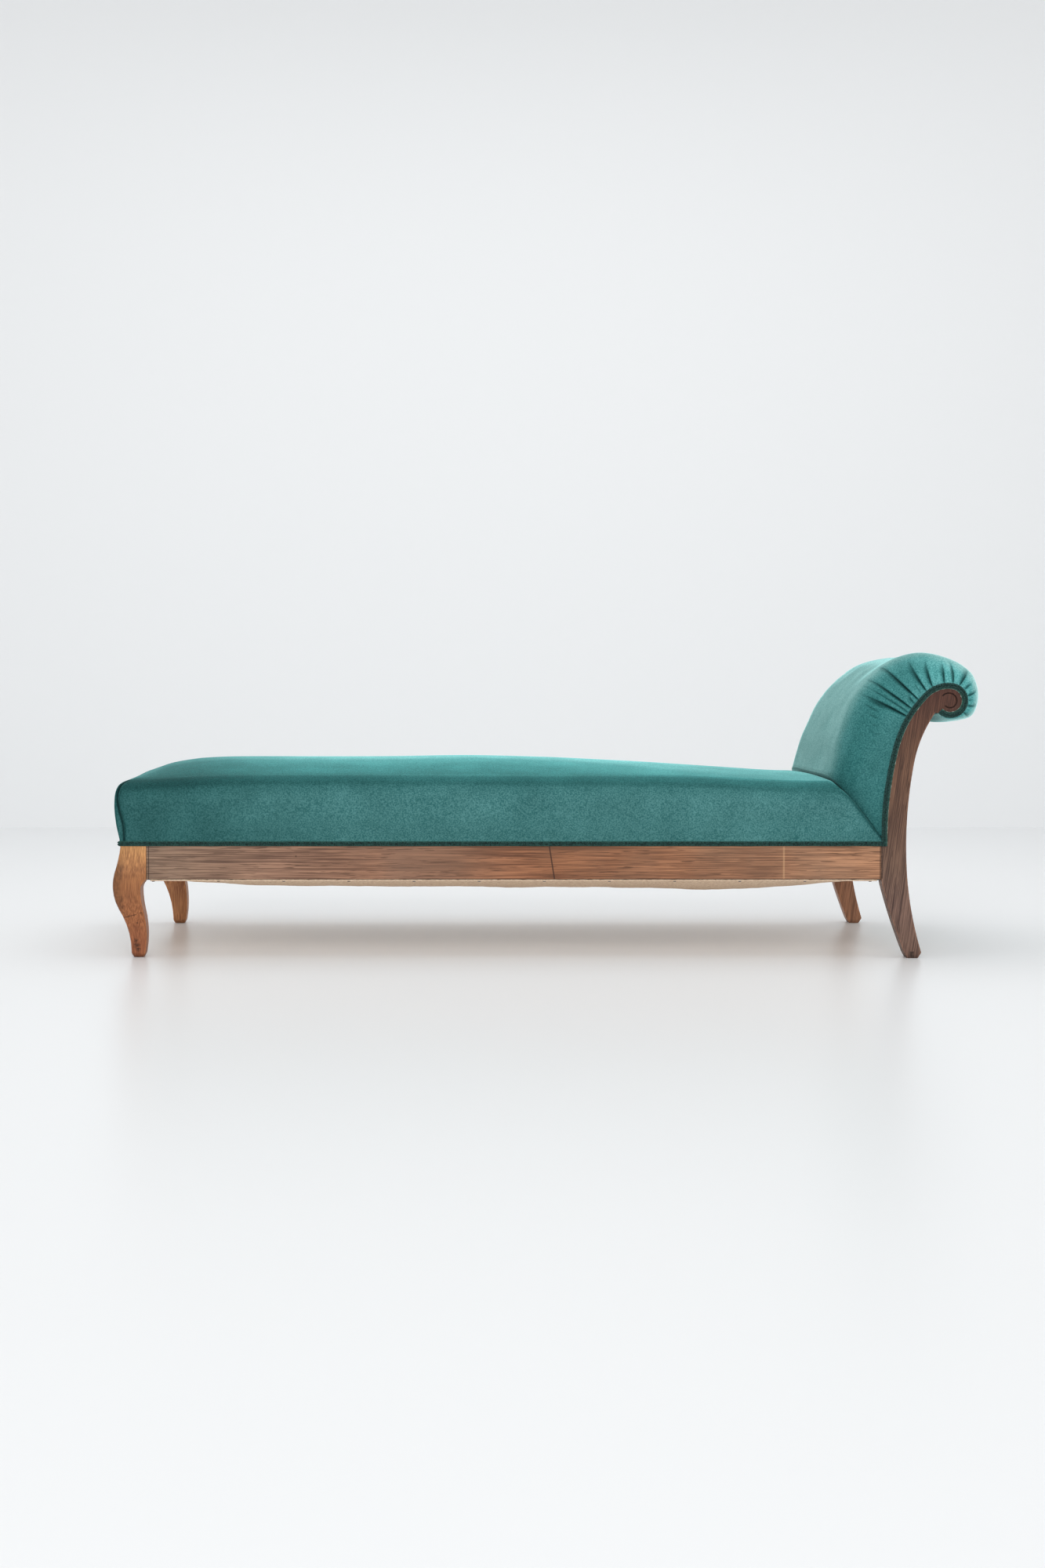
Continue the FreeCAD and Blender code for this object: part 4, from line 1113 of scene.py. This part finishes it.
def up_back(side):
    def at(s):
        x, z, heading = back_edge(back_gimp_low + s)
        out = Vector((math.cos(heading), 0, -math.sin(heading)))
        return Vector((x, side * back_gimp_y, z)) - out * back_gimp_sunk, Vector((0, 1, 0)), out
    return at


for side, name in ((-1, "near"), (1, "far")):
    gimp(name + "_rail_gimp", "gimp_" + name + "_rail", [(rail_gimp_length, along_rail(side))],
         rail_gimp_wide, seed=side)
    gimp(name + "_stile_gimp", "gimp_" + name + "_stile", [(stile_gimp_low + arc_starts[-1], up_stile(side))],
         stile_gimp_wide, cord_offset=-1.4, seed=3 * side, glue=1.1)
gimp("foot_end_gimp", "gimp_foot_end", [(foot_gimp_length, round_foot)], rail_gimp_wide, seed=9)
back_gimp_length = back_end - back_gimp_low
gimp("outside_back_gimp", "gimp_outside_back", [(back_gimp_length, up_back(side)) for side in (-1, 1)],
     back_gimp_wide, seed=7)


# Under the cloth: jute webbing under the rails, springs lashed with twine, hessian over them.
# The strips are drawn tight and tacked; twine runs from rail to rail both ways across the springs.

first_spring, last_spring, spring_count = -780.0, 560.0, 7
spring_reach = last_spring - first_spring
spring_xs = [first_spring + k * spring_reach / (spring_count - 1) for k in range(spring_count)]
spring_rows = (-205.0, 0.0, 205.0)
web_half, web_thick, inner_cloth_thick = 25.0, 1.8, 1.4
cross_web_half, cross_web_z = 326.5, 171.0
long_web_start, long_web_length, long_web_z = -927.0, 1688.5, 169.0
black_jute = woven("webbing_jute", (0.16, 0.11, 0.07), (0.52, 0.38, 0.25), 0.0028)
twine = yarn("lashing_twine", (0.30, 0.20, 0.11), (0.62, 0.46, 0.28), 500.0, 0.05)


def strips(name, node, columns, rows, places):
    """Webbing: strips of one length, in metres, each where its place(u, v) says."""
    bm = bmesh.new()
    for place in places:
        panel(bm, columns, rows, place)
    stretched_cloth(name, bm, black_jute, web_thick, node)


def inner_hessian(name, node, columns, rows, place):
    """Hessian hidden in the seat or the back."""
    bm = bmesh.new()
    panel(bm, columns, rows, place)
    stretched_cloth(name, bm, jute, inner_cloth_thick, node)


def across_web(middle, share):
    return middle - web_half + 2 * web_half * share


def cross_strip(x):
    return lambda u, v: Vector((across_web(x, u), -cross_web_half + 2 * cross_web_half * v,
                                cross_web_z - 0.3 * math.sin(math.pi * v)))


def long_strip(y):
    return lambda u, v: Vector((long_web_start + long_web_length * u, across_web(y, v),
                                long_web_z - 0.3 * math.sin(math.pi * u)))


def back_strip(y):
    def place(u, v):
        x, z, heading = front_edge(arc_starts[2] * u)
        return Vector((x + 2.5 * math.cos(heading), across_web(y, v), z - 2.5 * math.sin(heading)))
    return place


def over_springs(u, v):
    """Hessian over the springs: tacked on the rails, rising from them to the springs' tops."""
    x, y = -933.0 + 1649.0 * u, -331.0 + 662.0 * v
    rise = min(max((x + 906) / 26, 0.0), max((705 - x) / 65, 0.0), max((305.5 - abs(y)) / 21.5, 0.0), 1.0)
    return Vector((x, y, 262.75 + 74.0 * rise))


def behind_pad(u, v):
    """Hessian over the front of the back's frame, behind the pad."""
    x, z, heading = front_edge(arc_starts[-1] * u)
    return Vector((x + 0.75 * math.cos(heading), back_half * (2 * v - 1), z - 0.75 * math.sin(heading)))


strips("cross_webbing", "seat_webbing_cross", 10, 60,
       [cross_strip(x) for x in spring_xs])
strips("long_webbing", "seat_webbing_long", 150, 10,
       [long_strip(y) for y in spring_rows])
strips("back_webbing", "head_webbing", 60, 10,
       [back_strip(y) for y in (-200.0, 0.0, 200.0)])
inner_hessian("spring_cloth", "spring_hessian", 330, 140, over_springs)
inner_hessian("back_cloth", "head_hessian", 120, 60, behind_pad)

twine_tack, twine_top, twine_radius = 259.0, 331.2, 1.2
twine_over = twine_top + 2 * twine_radius
cross_twine = ((-299.5, twine_tack), (-262, twine_top), (262, twine_top), (299.5, twine_tack))
long_twine = ((-901, twine_tack), (-850, twine_over), (612, twine_over), (698.5, twine_tack))
twine_lines = [[(x, y, z) for y, z in cross_twine] for x in spring_xs]
twine_lines += [[(x, y, z) for x, z in long_twine] for y in spring_rows]
bm = bmesh.new()
bm.from_mesh(cords(twine_lines, twine_radius))
lashing = soft_piece("spring_lashing", bm, twine)
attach(lashing, "root")
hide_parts("lashing_twine")


# Metal: coppered spring wire, wood screws in the corner blocks, blued tacks along the hessian's edge.
# All of it is steel, dulled by age.

def aged_metal(name, colour, dull, roughness):
    """Bare metal with dull patches."""
    material, tree, skin, place = new_material(name, roughness, 0.5)
    patches = tree.ramp(tree.spots(place, 90, 4), 0.45, 0.65)
    tree.feed(skin["Base Color"], tree.blend(patches, colour, dull))
    tree.feed(skin["Roughness"], tree.calc("MULTIPLY_ADD", patches, 0.25, roughness))
    skin["Metallic"].default_value = 0.9
    tree.feed(skin["Normal"], tree.bump(tree.spots(place, 700, 2), 0.1, 0.0002))
    return material


finish_node("seat_springs", aged_metal("spring_steel", (0.52, 0.33, 0.22), (0.20, 0.13, 0.09), 0.35))
finish_node("corner_block_screws", aged_metal("screw_steel", (0.55, 0.54, 0.52), (0.28, 0.24, 0.20), 0.35))
finish_node("bottom_tacks", aged_metal("blued_iron", (0.10, 0.11, 0.14), (0.16, 0.10, 0.07), 0.4))


# The floor and the wall behind: plain and pale, the floor with a slight sheen. Neither is part of the couch.
# Each is one face, clear from behind, so that every side of the couch can be seen.

paint_tint = (0.982, 0.997, 1.008)
stage_side, stage_front, wall_y, wall_top = 14, -9, 3.64, 9


def pale_material(name, lightness, roughness):
    """Pale paint, a little cool, clear from behind."""
    material, tree, skin, place = new_material(name, roughness, 0.35)
    skin["Base Color"].default_value = (*[lightness * part for part in paint_tint], 1)
    behind = tree.put("NewGeometry").outputs["Backfacing"]
    paint, clear = tree.nodes["Principled BSDF"].outputs[0], tree.put("BsdfTransparent").outputs[0]
    seen = tree.put("MixShader", behind, paint, clear).outputs[0]
    tree.feed(tree.nodes["Material Output"].inputs["Surface"], seen)
    return material


def backdrop(name, material, corners):
    mesh = bpy.data.meshes.new(name)
    bm = bmesh.new()
    bm.faces.new([bm.verts.new(c) for c in corners])
    bm.to_mesh(mesh)
    bm.free()
    mesh.materials.append(material)
    piece = bpy.data.objects.new(name, mesh)
    bpy.context.scene.collection.objects.link(piece)


backdrop("floor", pale_material("pale_floor", 0.86, 0.32),
         [(-stage_side, stage_front, 0), (stage_side, stage_front, 0),
          (stage_side, wall_y, 0), (-stage_side, wall_y, 0)])
backdrop("wall", pale_material("pale_wall", 0.90, 0.8),
         [(-stage_side, wall_y, 0), (stage_side, wall_y, 0),
          (stage_side, wall_y, wall_top), (-stage_side, wall_y, wall_top)])


# Soft studio light: a broad lamp high in front gives most of it, and a weaker one stands overhead.
# A plain white world fills the shadows.

def soft_lamp(name, place, aim, size, power):
    light = bpy.data.lights.new(name, "AREA")
    light.shape = "RECTANGLE"
    light.size, light.size_y = size
    light.energy = power
    lamp = bpy.data.objects.new(name, light)
    lamp.location = place
    lamp.rotation_mode = "QUATERNION"
    lamp.rotation_quaternion = (Vector(aim) - Vector(place)).to_track_quat("-Z", "Y")
    bpy.context.scene.collection.objects.link(lamp)


soft_lamp("overhead_lamp", (0.0, 0.4, 3.8), (0.0, 0.0, 0.3), (4.5, 3.5), 50)
soft_lamp("front_lamp", (-0.6, -7.5, 4.6), (0.0, 0.4, 0.3), (5.0, 3.5), 190)
world = bpy.data.worlds.new("pale_world")
world.use_nodes = True
world.node_tree.nodes["Background"].inputs["Color"].default_value = (1, 1, 1, 1)
world.node_tree.nodes["Background"].inputs["Strength"].default_value = 0.72
bpy.context.scene.world = world


# The camera stands a little lower than the headrest's top, square to the near long side.
# It is tilted slightly down, and its lens is shifted to put the couch where the picture has it.

camera_place, camera_tilt = (-0.187, -4.535, 0.585), 1.184
eye = bpy.data.cameras.new("camera")
eye.sensor_width, eye.lens = 36.0, 44.47
eye.shift_x, eye.shift_y = 0.037, -0.035
camera = bpy.data.objects.new("camera", eye)
camera.location = camera_place
camera.rotation_euler = (math.radians(90 - camera_tilt), 0, 0)
bpy.context.scene.collection.objects.link(camera)
bpy.context.scene.camera = camera
bpy.context.scene.view_settings.view_transform = "Standard"
